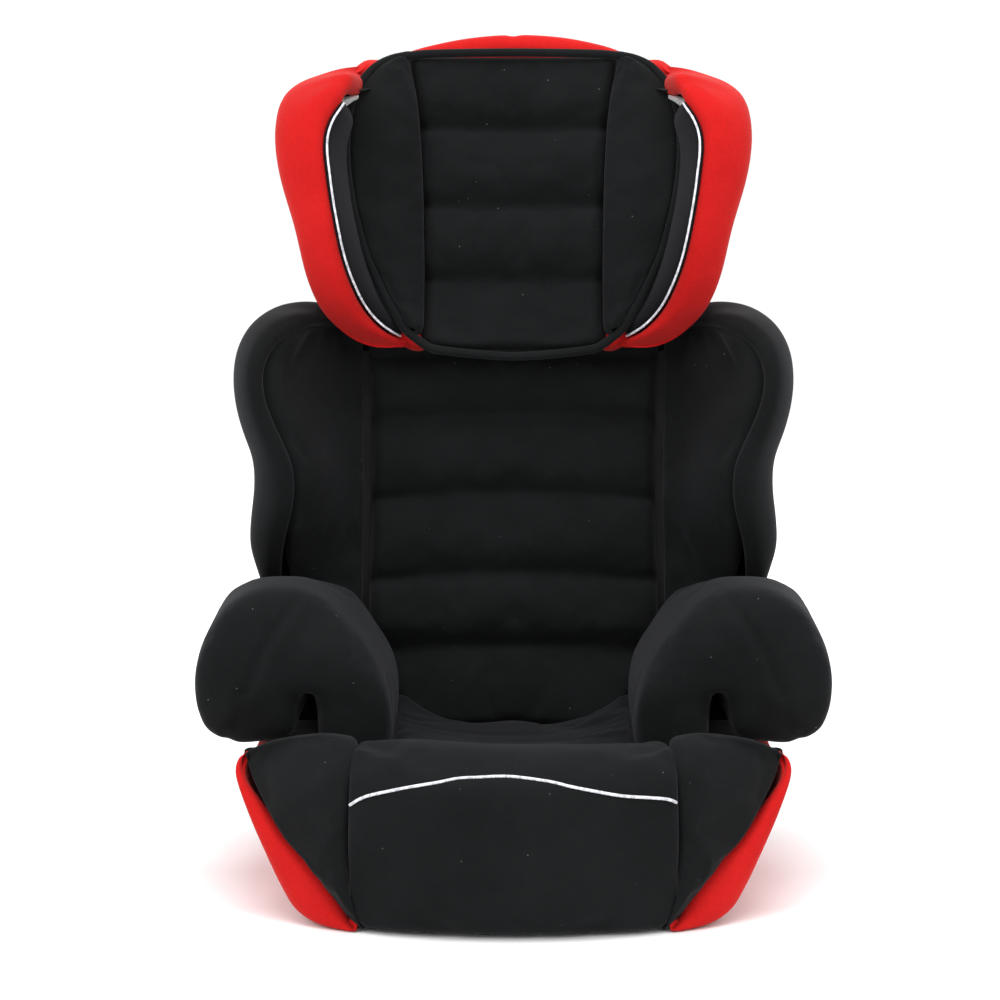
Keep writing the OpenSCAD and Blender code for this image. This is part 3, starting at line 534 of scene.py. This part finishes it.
def cushion_relief(g):
    """Creases on top, and a soft swelling low on the front."""
    x, y, z = g[..., 0], g[..., 1], g[..., 2]
    out = 0.0 * x
    for at, depth, phase in CREASES:
        line = at + 5 * np.sin(x / 37 + phase) + 2.5 * np.sin(x / 13 + 2 * phase)
        fade = 0.45 + 0.55 * np.sin(x / 55 + 2.3 * phase) ** 2
        out -= depth * fade * np.exp(-((y - line) / 3.4) ** 2) * (z > 85)
    out += 3.0 * np.exp(-((z - 60) / 34) ** 2) * (y < -150)
    return out


# Place x, height of the lip and depth of the hollow
CUSHION_PROFILES = ((-CUSHION_HALF_W, 119, 0), (-84, 118, 1), (-42, 116, 3), (0, 115, 4), (42, 116, 3),
                    (84, 118, 1), (CUSHION_HALF_W, 119, 0))
cushion_grid = skin([cushion_profile(*profile) for profile in CUSHION_PROFILES], 66, 44)
cushion = slab("seat_cushion_pad", cushion_grid, 11, in_base, BLACK, side=-1, edge=6, drop=0.32,
               relief=cushion_relief, air=(3.0, 5, 0.02))
place(cushion, "base", ["seat_cushion"])

# Curve on the front where the black bolster meets the red side
RED_SEAM = [(104, 0.5), (127, 27), (143, 45), (158, 60), (171, 79), (181, 95), (186, 107)]
# The bolster's inner edge runs beside the cushion, then beside the foot of the armrest
bolster_inner = [front_point(101, 0.5, -1), front_point(108.5, 26, -1.5), front_point(111, 50, -2),
                 front_point(112, 72, -2), front_point(111.5, 94, -1), front_point(109.5, 112, 2),
                 (107, -152, 123), (106, -130, 122), (110, -110, 113), (122, -99, 103), (137, -90, 97),
                 (137.5, -40, 96), (137.5, SEAT_REAR, 94)]
bolster_outer = [front_point(x, z, 0.5) for x, z in RED_SEAM]
bolster_outer += [(185.5, -136, 113.5), (182, -115, 109), (178, -102, 101), (176, -88, 97), (175, -40, 95.5),
                  (175, SEAT_REAR, 94)]


def crest(share, rise):
    """A curve between the bolster's two edges, standing proud of them."""
    a, b = np.array(bolster_inner), np.array(bolster_outer)
    p = a + (b - a) * share
    step = np.arange(len(a))
    lift = np.interp(step, [0, 1, 5, 7, 9, 12], [0.1, 0.8, 1, 1.1, 0.3, 0.1]) * rise
    forward = np.interp(step, [0, 4, 6, 8], [1, 1, 0.5, 0])
    p[:, 1] -= lift * forward
    p[:, 2] += lift * (1 - 0.85 * forward)
    return p


bolster_grid = skin([bolster_inner, crest(0.3, 7), crest(0.72, 8), bolster_outer], 64, 18, matched=True)
# The front corner of the red side panel, from the floor up
red_corner = [(105, -184, 0), (132, -172, 2), (148, -164, 10), (158, -159, 25), (167, -154, 42),
              (181, -147, 71), (190.5, -141, 96), (190.5, -137, 107), (184, -133, 116)]
# Half width of the base at each height z
side_x = table([(1, 108), (3, 132), (12, 148), (26, 158), (44, 168), (70, 180), (92, 188), (110, 189)])


def side_curve(y, top):
    """The red side panel at y, from the floor to its top edge."""
    return [(float(side_x(z)), y, z) for z in np.linspace(2, top - 5, 8)] + [(float(side_x(top)) - 4, y, top)]


red_front = [front_point(x - 1.5, z - 0.7, 1.5) for x, z in RED_SEAM] + [(182, -133, 114)]
red_side_grid = skin([red_front, red_corner, side_curve(-104, 108), side_curve(-84, 99), side_curve(-20, 95),
                      side_curve(SEAT_REAR, 94)], 34, 60)


def wrinkled(amount, size):
    """Soft irregular dents, the same on every run."""
    phases = RNG.uniform(0, 2 * math.pi, (5, 3))
    ways = RNG.normal(size=(5, 3))

    def relief(g):
        out = np.zeros(g.shape[:2])
        for phase, way in zip(phases, ways):
            out += np.sin(g @ way / size + phase[0]) * np.sin(g @ way[::-1] / (1.7 * size) + phase[1])
        return amount * out / 3
    return relief


bolster_dents = wrinkled(0.5, 26)
side_dents = wrinkled(0.4, 30)
for side_name, mirrored in SIDES:
    bolster = slab("seat_bolster_pad_" + side_name, bolster_grid, 10, in_base, BLACK, side=-1, edge=5,
                   drop=0.3, relief=bolster_dents, mirrored=mirrored, air=(2.5, 4, 0.02))
    place(bolster, "base", ["seat_bolster_" + side_name])
    red = slab("seat_side_panel_" + side_name, red_side_grid, 7, in_base, RED, side=-1, edge=5,
               relief=side_dents, mirrored=mirrored)
    place(red, "base", ["seat_side_" + side_name])

# Front view of the piping over the lip
PIPING_FRONT = [(-113, 86), (-104, 93), (-92, 98), (-66, 104), (-39, 108), (-8, 110), (19, 108), (47, 103),
                (72, 98), (92, 95.5), (105, 93), (112.5, 88)]
piping_line = laid_on(cushion, [(x, -200, z) for x, z in spline(PIPING_FRONT, 120)], (0, 1, 0), CUSHION_LIFT)
place(tube("seat_piping_cord", piping_line, PIPING_RADIUS, SILVER), "base", ["seat_piping"])

# ---------------------------------------------------------------- armrests

ARM_MESH = 4.2        # size of the faces of an armrest's cover
ARM_SMOOTHING = 14    # rounds
ARM_SWELL = 2.2
ARM_FOOT_Z = 0.082    # metres: under this the cover is held to the seat
ARM_PUSH = 8.5        # the most that its front is pressed in
# Front view of the seam over the front of an armrest
ARM_SEAM = [(151, 216), (158, 205), (167, 192), (175, 176), (181, 160), (188, 144)]


def soft_copy(name, node, material):
    """A rounded, evenly meshed copy of a padded CAD solid."""
    obj = NODES[node].copy()
    obj.data = NODES[node].data.copy()
    for key in list(obj.keys()):
        del obj[key]
    obj.name = obj.data.name = name
    obj.parent = None
    obj.hide_render = False
    obj.hide_viewport = False
    scene.collection.objects.link(obj)
    mod = obj.modifiers.new("even", "REMESH")
    mod.mode = "VOXEL"
    mod.voxel_size = ARM_MESH * MM
    mesh = bpy.data.meshes.new_from_object(obj.evaluated_get(bpy.context.evaluated_depsgraph_get()))
    obj.modifiers.clear()
    obj.data = mesh
    mesh.materials.clear()
    mesh.materials.append(material)
    bm = bmesh.new()
    bm.from_mesh(mesh)
    for _ in range(ARM_SMOOTHING):
        bmesh.ops.smooth_vert(bm, verts=bm.verts, factor=0.5, use_axis_x=True, use_axis_y=True,
                              use_axis_z=True)
    bm.normal_update()
    for v in bm.verts:
        v.co += v.normal * ARM_SWELL * MM
    bm.to_mesh(mesh)
    bm.free()
    mesh.polygons.foreach_set("use_smooth", [True] * len(mesh.polygons))
    return obj


def outer_only(obj):
    """Drops the inside of a hollow pad, which the core fills."""
    bm = bmesh.new()
    bm.from_mesh(obj.data)
    islands, seen = [], set()
    for v in bm.verts:
        if v in seen:
            continue
        stack, island = [v], []
        seen.add(v)
        while stack:
            w = stack.pop()
            island.append(w)
            for e in w.link_edges:
                o = e.other_vert(w)
                if o not in seen:
                    seen.add(o)
                    stack.append(o)
        islands.append(island)
    islands.sort(key=len)
    for island in islands[:-1]:
        bmesh.ops.delete(bm, geom=island, context="VERTS")
    bm.to_mesh(obj.data)
    bm.free()


def distance_to(line, x, z):
    """How far points are from a line in the front view, and on which side of it they lie."""
    p = spline(line, 60)
    away = np.hypot(x[:, None] - p[:, 0], z[:, None] - p[:, 1])
    nearest = away.argmin(1)
    way = np.gradient(p, axis=0)[nearest]
    side = way[:, 0] * (z - p[nearest, 1]) - way[:, 1] * (x - p[nearest, 0])
    return away.min(1), np.sign(side)


def arm_shape(co):
    """Lowers the crest, lifts the outer lower corner, and sets back the inner side and the front seam."""
    out, x, y, z = co.copy(), np.abs(co[:, 0]) / MM, co[:, 1] / MM, co[:, 2] / MM
    out[:, 2] -= 7 * MM * np.clip((z - 140) / 70, 0, 1)
    out[:, 2] += 6 * MM * smooth_step((x - 185) / 35) * np.clip((160 - z) / 50, 0, 1)
    front = smooth_step((-30 - y) / 50)
    away, side = distance_to(ARM_SEAM, x, z)
    inner = smooth_step(-away * side / 24 + 0.1)
    groove = 4.5 * np.exp(-(away / 3.2) ** 2)
    leg = 3 * smooth_step((124 - x) / 18) * smooth_step((205 - z) / 20)
    out[:, 1] += MM * front * np.minimum(groove + 6 * inner + leg, ARM_PUSH)
    return out


for side_name, mirrored in SIDES:
    arm = soft_copy("armrest_cover_" + side_name, "armrest_pad_" + side_name, BLACK)
    outer_only(arm)
    set_coords(arm, arm_shape(coords(arm)))
    puff(arm, [i for i, v in enumerate(coords(arm)) if v[2] < ARM_FOOT_Z], 3.0, 5, 0.02, 14)
    subdivide(arm)
    place(arm, "base", ["armrest_pad_" + side_name])

# ---------------------------------------------------------------- backrest

BAND_FULLNESS = 3.2   # the power that keeps a sewn band full up to its lines
SEWN_LINE = 3.5       # depth of the narrow groove at a line of stitches
SEWN_LINE_W = 3.0
ARCH_HALF_W = 100.0


def channels(lines, depth, arch=0.0):
    """Sewn channels across a pad: full in the middle of each band, pulled in at each line."""
    def relief(g):
        v = g[..., 2] - arch * np.clip(1 - (g[..., 0] / ARCH_HALF_W) ** 2, 0, 1)
        out = np.zeros(v.shape)
        for low, high in zip(lines, lines[1:]):
            f = np.clip((v - low) / (high - low), 0, 1)
            inside = (v >= low) & (v < high)
            out[inside] = -depth * np.abs(2 * f[inside] - 1) ** BAND_FULLNESS
        for line in lines:
            out -= SEWN_LINE * np.exp(-((v - line) / SEWN_LINE_W) ** 2)
        return out
    return relief


# Half width of the back panel at each height v
back_half = table([(15, 40), (17, 58), (26, 80), (42, 95), (64, 104), (88, 109), (140, 108), (190, 107),
                   (240, 107), (290, 109), (322, 110)])
BACK_PAD_U = -70.0
BACK_LINES = [-40, 72, 127, 188, 248, 296, 345]


def back_point(share, v):
    """A point of the back panel, hollowed across and a little full at the height of the lower back."""
    hollow = 5 * (1 - share * share)
    lumbar = 3 * math.exp(-((v - 90) / 50) ** 2)
    return (share * back_half(v), BACK_PAD_U + hollow - lumbar, v)


back_rows = np.concatenate([[15, 19], np.linspace(24, 320, 64)])
back_grid = np.array([[back_point(t, v) for t in np.linspace(-1, 1, 44)] for v in back_rows])
back_pad = slab("back_panel_pad", back_grid, 24, in_back, BLACK, side=-1, edge=8, drop=0.35,
                relief=channels(BACK_LINES, 9.5, arch=3.5), air=(3.5, 6, 0.02), held_below=-7)
place(back_pad, "backrest", ["back_pad"])

# Depth u of a wing's front edge at each height v
reach = table([(15, -79), (66, -82), (110, -90), (124, -100), (137, -116), (156, -135), (186, -147),
               (220, -156), (255, -164), (285, -165), (308, -156), (322, -138), (331, -110)])
# Front view (x, v) of a wing's outline and of its inner seam, from the bottom up
WING_EDGE = [(112, 6), (150, 10), (172, 36), (179, 88), (187, 121), (194, 147), (194.5, 165), (191.5, 190),
             (191, 211), (198, 231), (204.5, 254), (206.5, 276), (204.5, 294), (196, 313), (180, 328),
             (161, 333.5), (138, 333), (112, 331)]
WING_SEAM = [(104, 28), (130, 36), (152, 68), (163, 102), (171, 126), (166, 156), (159, 184), (160, 212),
             (171, 238), (179, 262), (179, 281), (172, 297), (159, 309), (134, 317), (110, 319)]
WING_MIDDLE = (90, 200)
SECOND_SEAM = 8.0     # from the wing's first seam to the second
SECOND_SEAM_DEPTH = 1.8
N_GUIDE = 22          # points of a guide curve


def toward(points, centre, amount):
    """Points of a front view outline moved towards its middle."""
    p = np.asarray(points, float)
    way = np.asarray(centre, float) - p
    return p + way / np.linalg.norm(way, axis=1, keepdims=True) * amount


def deep(points, depth):
    """(x, v) points given the depth u that depth(v) says."""
    return [(x, float(depth(v)), v) for x, v in points]


def tucked(curve, low_x, span, from_v, to_v, rest_u):
    """Sets back to rest_u the part of a curve that passes behind another piece.

    It is set back fully inside low_x and not at all span further out, and this fades in between
    the heights from_v and to_v.
    """
    out = []
    for x, u, v in curve:
        share = (1 - smooth_step((x - low_x) / span)) * smooth_step((v - from_v) / (to_v - from_v))
        out.append((x, float(u + (max(u, rest_u) - u) * share), v))
    return out


def behind_head(curve):
    """The top inner corner of a back wing goes behind the headrest."""
    return tucked(curve, 126, 34, 284, 306, -74)


edge_2d = spline(WING_EDGE, N_GUIDE)
seam_2d = spline(WING_SEAM, N_GUIDE)
fine_seam = spline(WING_SEAM, 240)
mid_2d = seam_2d + (edge_2d - seam_2d) * 0.5
# From the seam over the front edge of the wing and round to its rear
wing_curves = [
    behind_head(deep(seam_2d, lambda v: reach(v) + 5)),
    behind_head(deep(mid_2d, lambda v: reach(v) - 3)),
    behind_head(deep(edge_2d, lambda v: 0.55 * reach(v) - 46)),
    behind_head(deep(edge_2d, lambda v: 0.2 * reach(v) - 58)),
    deep(toward(edge_2d, WING_MIDDLE, 10), lambda v: -50),
    deep(toward(edge_2d, WING_MIDDLE, 34), lambda v: -27),
]
wing_grid = skin(wing_curves, 62, 34)
# Place x of the seam between the back panel and its bolster at each height v
seam_x = table([(26, 90), (42, 97), (64, 106), (88, 111), (140, 110), (190, 109), (240, 109), (290, 111),
                (325, 112)])


def bolster_curve(share, depth):
    """A curve between the panel's seam and the wing's double seam."""
    inner = np.stack([seam_x(seam_2d[:, 1]), seam_2d[:, 1]], 1)
    return behind_head(deep(inner + (seam_2d - inner) * share, depth))


bolster_curves = [
    bolster_curve(0.0, lambda v: -66),
    bolster_curve(0.35, lambda v: -74 + 0.16 * (reach(v) + 80)),
    bolster_curve(0.72, lambda v: -84 + 0.52 * (reach(v) + 80)),
    bolster_curve(0.985, lambda v: reach(v) + 6),
]
back_bolster_grid = skin(bolster_curves, 62, 26)
back_bolster_dents = wrinkled(0.7, 30)
wing_wrinkles = wrinkled(0.5, 34)


def wing_dents(g):
    """Soft dents, and the second of the wing's two seams."""
    away = np.hypot(g[..., 0, None] - fine_seam[:, 0], g[..., 2, None] - fine_seam[:, 1]).min(-1)
    front = smooth_step((-64 - g[..., 1]) / 10)
    return wing_wrinkles(g) - SECOND_SEAM_DEPTH * front * np.exp(-((away - SECOND_SEAM) / 1.8) ** 2)


for side_name, mirrored in SIDES:
    piece = slab("back_bolster_pad_" + side_name, back_bolster_grid, 12, in_back, BLACK, side=-1, edge=9,
                 relief=back_bolster_dents, mirrored=mirrored, air=(2.5, 4, 0.02))
    place(piece, "backrest", ["back_bolster_" + side_name])
    cover = slab("back_wing_cover_cloth_" + side_name, wing_grid, 6, in_back, BLACK, side=-1, edge=5,
                 relief=wing_dents, mirrored=mirrored)
    place(cover, "backrest", ["back_wing_cover_" + side_name])

# ---------------------------------------------------------------- headrest

HEAD_PAD_U = -107.0
HEAD_MIDDLE = (60, 415)
BEHIND_PAD_U = -72
HEAD_LINES = [262, 352, 408, 466, 548]
PIPING_FROM_X = 84    # where the head piping comes out from behind the rim, below
PIPING_TO_X = 121.5   # and where it goes behind it, above
HEAD_PIPING_RADIUS = 0.85
RIM_RADIUS = 3.2
# Half width of the head panel at each height v
pad_seam_x = table([(297, 56), (300, 63), (304, 66.5), (309, 67), (323, 66), (364, 65.5), (430, 66.5),
                    (479, 70), (508, 76), (523, 80)])
head_rows = np.linspace(298, 519.5, 58)
head_grid = np.array([[(t * pad_seam_x(v), HEAD_PAD_U + 4 * (1 - t * t), v) for t in np.linspace(-1, 1, 34)]
                      for v in head_rows])
head_pad = slab("head_panel_pad", head_grid, 22, in_back, BLACK, side=-1, edge=7, drop=0.3,
                relief=channels(HEAD_LINES, 9.0), air=(3.5, 5, 0.02), held_below=-6.5)
place(head_pad, "headrest", ["head_pad"])

# Front view (x, v) of the rim round a leaf-shaped bolster, and the rim's depth u at each height v
LEAF_RIM = [(80, 518), (92, 515), (104, 508), (115, 494), (121, 478), (124, 455), (123.5, 430), (119.5, 404),
            (111.5, 373), (104.5, 355), (97.5, 340), (90, 327), (81, 313), (69, 303)]
rim_depth = table([(294, -107), (313, -110), (327, -116), (373, -126), (430, -132), (473, -128), (500, -118),
                   (522, -108)])
rim_x = table([(v, x) for x, v in LEAF_RIM[::-1]])
leaf_top_rows = 500 + 17.5 * np.sin(np.linspace(0.12, 1, 12) * math.pi / 2)
leaf_rows = np.concatenate([np.linspace(309, 500, 42), leaf_top_rows])


def leaf_point(share, v):
    """A point of the leaf-shaped side bolster, which swells between its seam and its rim."""
    low = pad_seam_x(v) - 2
    x = low + share * (rim_x(v) - low)
    swell = 9 * math.sin(math.pi * share ** 0.8) * min(1, (x - low) / 9)
    return (x, HEAD_PAD_U + share * (rim_depth(v) - HEAD_PAD_U) - swell, v)


leaf_grid = np.array([[leaf_point(t, v) for t in np.linspace(0, 1, 20)] for v in leaf_rows])

# Front view (x, v) of a head wing's piping and of its outline, from the bottom up
PIPING_2D = [(70, 307), (86, 308.5), (100, 316.5), (112, 331), (123, 358), (130, 393), (134, 425), (135, 442),
             (131, 457), (122, 472), (112, 487), (98, 499), (82, 508)]
RED_EDGE_2D = [(70, 304), (88, 300), (106, 301), (122, 308), (140, 325), (151, 350), (159, 385), (168, 418),
               (171.5, 442), (170.5, 462), (164, 483), (146, 498), (120, 510), (98, 515), (82, 518)]
# Depth u of a head wing's front edge at each height v
head_reach = table([(296, -92), (302, -102), (314, -124), (342, -160), (378, -184), (416, -200), (440, -203),
                    (460, -200), (474, -190), (488, -172), (498, -146), (508, -116), (522, -96)])


def piping_depth(v):
    """Depth of the piped edge."""
    return head_reach(v) + 6


def edge_depth(v):
    """Depth at the outline, where the wing turns to the side."""
    return 0.82 * head_reach(v) - 17


pipe_2d = spline(PIPING_2D, N_GUIDE)
red_2d = spline(RED_EDGE_2D, N_GUIDE)


def behind_pad(curve, low_x):
    """The ends of a head wing go behind the padded middle, above and below."""
    top = tucked(curve, 109, 8, 400, 440, BEHIND_PAD_U)
    flipped = tucked([(x, u, -v) for x, u, v in top], low_x, 20, -360, -330, BEHIND_PAD_U)
    return [(x, u, -v) for x, u, v in flipped]


wing_mid_2d = pipe_2d + (red_2d - pipe_2d) * 0.45
wing_mid = [(x, float(min(piping_depth(a), edge_depth(b))) - 2, v)
            for (x, v), (_, a), (_, b) in zip(wing_mid_2d, pipe_2d, red_2d)]
# From the piping over the outline of the wing and round to its rear
head_wing_curves = [
    behind_pad(deep(pipe_2d, piping_depth), 72),
    behind_pad(wing_mid, 70),
    behind_pad(deep(red_2d, edge_depth), 68),
    behind_pad(deep(red_2d, lambda v: 0.4 * head_reach(v) - 62), 68),
    deep(toward(red_2d, HEAD_MIDDLE, 9), lambda v: -92),
    deep(toward(red_2d, HEAD_MIDDLE, 36), lambda v: -66),
]
head_wing_grid = skin(head_wing_curves, 56, 36)
LINER_INNER = [(76, 308), (86, 322), (98, 345), (107, 373), (115, 404), (119, 430), (119, 452), (117, 468)]
LINED_POINTS = 10     # of the piping, from the bottom: the liner ends there
liner_inner = spline(LINER_INNER, N_GUIDE)
liner_pipe = spline(PIPING_2D[:LINED_POINTS], N_GUIDE)
liner_mid = 0.45 * liner_inner + 0.55 * liner_pipe - [2, 0]
liner_curves = [
    deep(liner_inner, lambda v: -98),
    behind_pad(deep(liner_mid, lambda v: 0.55 * piping_depth(v) - 46), 72),
    behind_pad(deep(liner_pipe - [0.6, 0], lambda v: piping_depth(v) + 1), 72),
]
liner_grid = skin(liner_curves, 44, 14)

# Height v of the red top's crest at each x
hump_top = table([(-106, 510), (-96, 516), (-77, 525), (-40, 533.5), (0, 537), (40, 534.5), (77, 526),
                  (96, 516), (106, 510)])
hump_x = np.linspace(-104, 104, 15)
HUMP_REAR_TOP = 509


def hump_curve(u, lift, narrow=1.0, top=FAR):
    """The red top at depth u, lift above its crest and never above top."""
    return [(narrow * x, u, min(float(hump_top(x)) + lift, top)) for x in hump_x]


hump_grid = skin([hump_curve(-86, -22), hump_curve(-91, -9), hump_curve(-86, 0), hump_curve(-72, 1),
                  hump_curve(-62, -8, 0.98), hump_curve(-60, -18, 0.96, HUMP_REAR_TOP)], 60, 26)
red_dents = wrinkled(0.45, 28)


def hump_relief(g):
    """Soft dents, and the seam down the middle of the red top."""
    return red_dents(g) - 1.6 * np.exp(-(g[..., 0] / 3.0) ** 2)


hump = slab("head_top_panel", hump_grid, 6, in_back, RED, side=1, edge=4, relief=hump_relief)
place(hump, "headrest", ["head_top_cover"])

leaf_dents = wrinkled(0.5, 24)
for side_name, mirrored in SIDES:
    leaf = slab("head_bolster_pad_" + side_name, leaf_grid, 13, in_back, BLACK, side=-1, edge=7, drop=0.4,
                relief=leaf_dents, mirrored=mirrored, air=(2.5, 4, 0.02))
    place(leaf, "headrest", ["head_bolster_" + side_name])
    red = slab("head_wing_panel_" + side_name, head_wing_grid, 6, in_back, RED, side=-1, edge=4,
               relief=red_dents, mirrored=mirrored)
    place(red, "headrest", ["head_wing_cover_" + side_name])
    liner = slab("head_liner_cloth_" + side_name, liner_grid, 3, in_back, BLACK_LINER, side=-1, edge=3,
                 mirrored=mirrored)
    place(liner, "headrest", ["head_liner_" + side_name])
    line = in_back([(x - 1.0, u - 1.2, v) for x, u, v in spline(head_wing_curves[0], 120)
                    if x > (PIPING_TO_X if v > 440 else PIPING_FROM_X)])
    cord = tube("head_piping_cord_" + side_name, line, HEAD_PIPING_RADIUS, SILVER, mirrored=mirrored)
    place(cord, "headrest", ["head_piping_" + side_name])

# Piped rim all round the head pad
rim_right = [(x, float(rim_depth(v)), v) for x, v in spline(LEAF_RIM, 60)]
rim_top = spline([(80, -107, 518), (60, -106, 520), (0, -105, 521), (-60, -106, 520), (-80, -107, 518)], 40)
rim_left = [(-x, u, v) for x, u, v in rim_right]
rim_bottom = spline([(-69, -107, 303), (-55, -107, 297.5), (0, -106, 293), (55, -107, 297.5),
                     (69, -107, 303)], 36)
rim_loop = np.vstack([rim_right[::-1], rim_top[1:-1], rim_left, rim_bottom[1:-1]])
rim = tube("head_pad_rim", in_back(rim_loop), RIM_RADIUS, BLACK, closed=True, sides=10)
place(rim, "headrest")

# ---------------------------------------------------------------- camera, light and floor

LENS_MM = 110.5
CAMERA_Y = -2.2
CAMERA_Z = 0.575
PITCH = math.radians(7.9)
SHIFT_X = -0.0135     # the seat stands a little right of the middle
LIGHT_AIM = (0, 0, 0.3)
FLOOR_HALF = 3e4
camera = bpy.data.objects.new("camera", bpy.data.cameras.new("camera"))
scene.collection.objects.link(camera)
camera.location = (0, CAMERA_Y, CAMERA_Z)
camera.rotation_euler = (math.pi / 2 - PITCH, 0, 0)
camera.data.lens = LENS_MM
camera.data.shift_x = SHIFT_X
scene.camera = camera


def area_light(name, location, size, power):
    """A soft rectangular light aimed at the middle of the seat."""
    light = bpy.data.lights.new(name, "AREA")
    light.shape = "RECTANGLE"
    light.size, light.size_y = size
    light.energy = power
    obj = bpy.data.objects.new(name, light)
    scene.collection.objects.link(obj)
    obj.location = location
    obj.rotation_euler = (Vector(LIGHT_AIM) - Vector(location)).to_track_quat("-Z", "Y").to_euler()


area_light("top", (0, -0.6, 2.2), (1.6, 1.2), 30)
area_light("front_left", (-1.5, -1.9, 1.6), (0.9, 1.0), 16)
area_light("front_right", (1.6, -1.7, 1.6), (1.0, 1.2), 7)
area_light("rear", (0.4, 2.0, 1.7), (1.4, 1.2), 12)

world = bpy.data.worlds.new("studio")
scene.world = world
world.use_nodes = True
world.node_tree.nodes["Background"].inputs["Color"].default_value = (1, 1, 1, 1)
world.node_tree.nodes["Background"].inputs["Strength"].default_value = 1.05

floor_shader = Shader("floor_pale")
floor_tone = floor_shader.noise(3.0, 2.0)
floor_colour = floor_shader.ramp(floor_tone, (0.3, (0.95, 0.95, 0.95)), (0.7, (0.97, 0.97, 0.97)))
FLOOR = floor_shader.done(floor_colour, 0.8)
floor_corners = [(x * FLOOR_HALF, y * FLOOR_HALF, 0) for x, y in ((-1, -1), (1, -1), (1, 1), (-1, 1))]
floor = new_mesh("floor", floor_corners, [(0, 1, 2, 3)], FLOOR)

scene.view_settings.view_transform = "Standard"
scene.view_settings.look = "None"
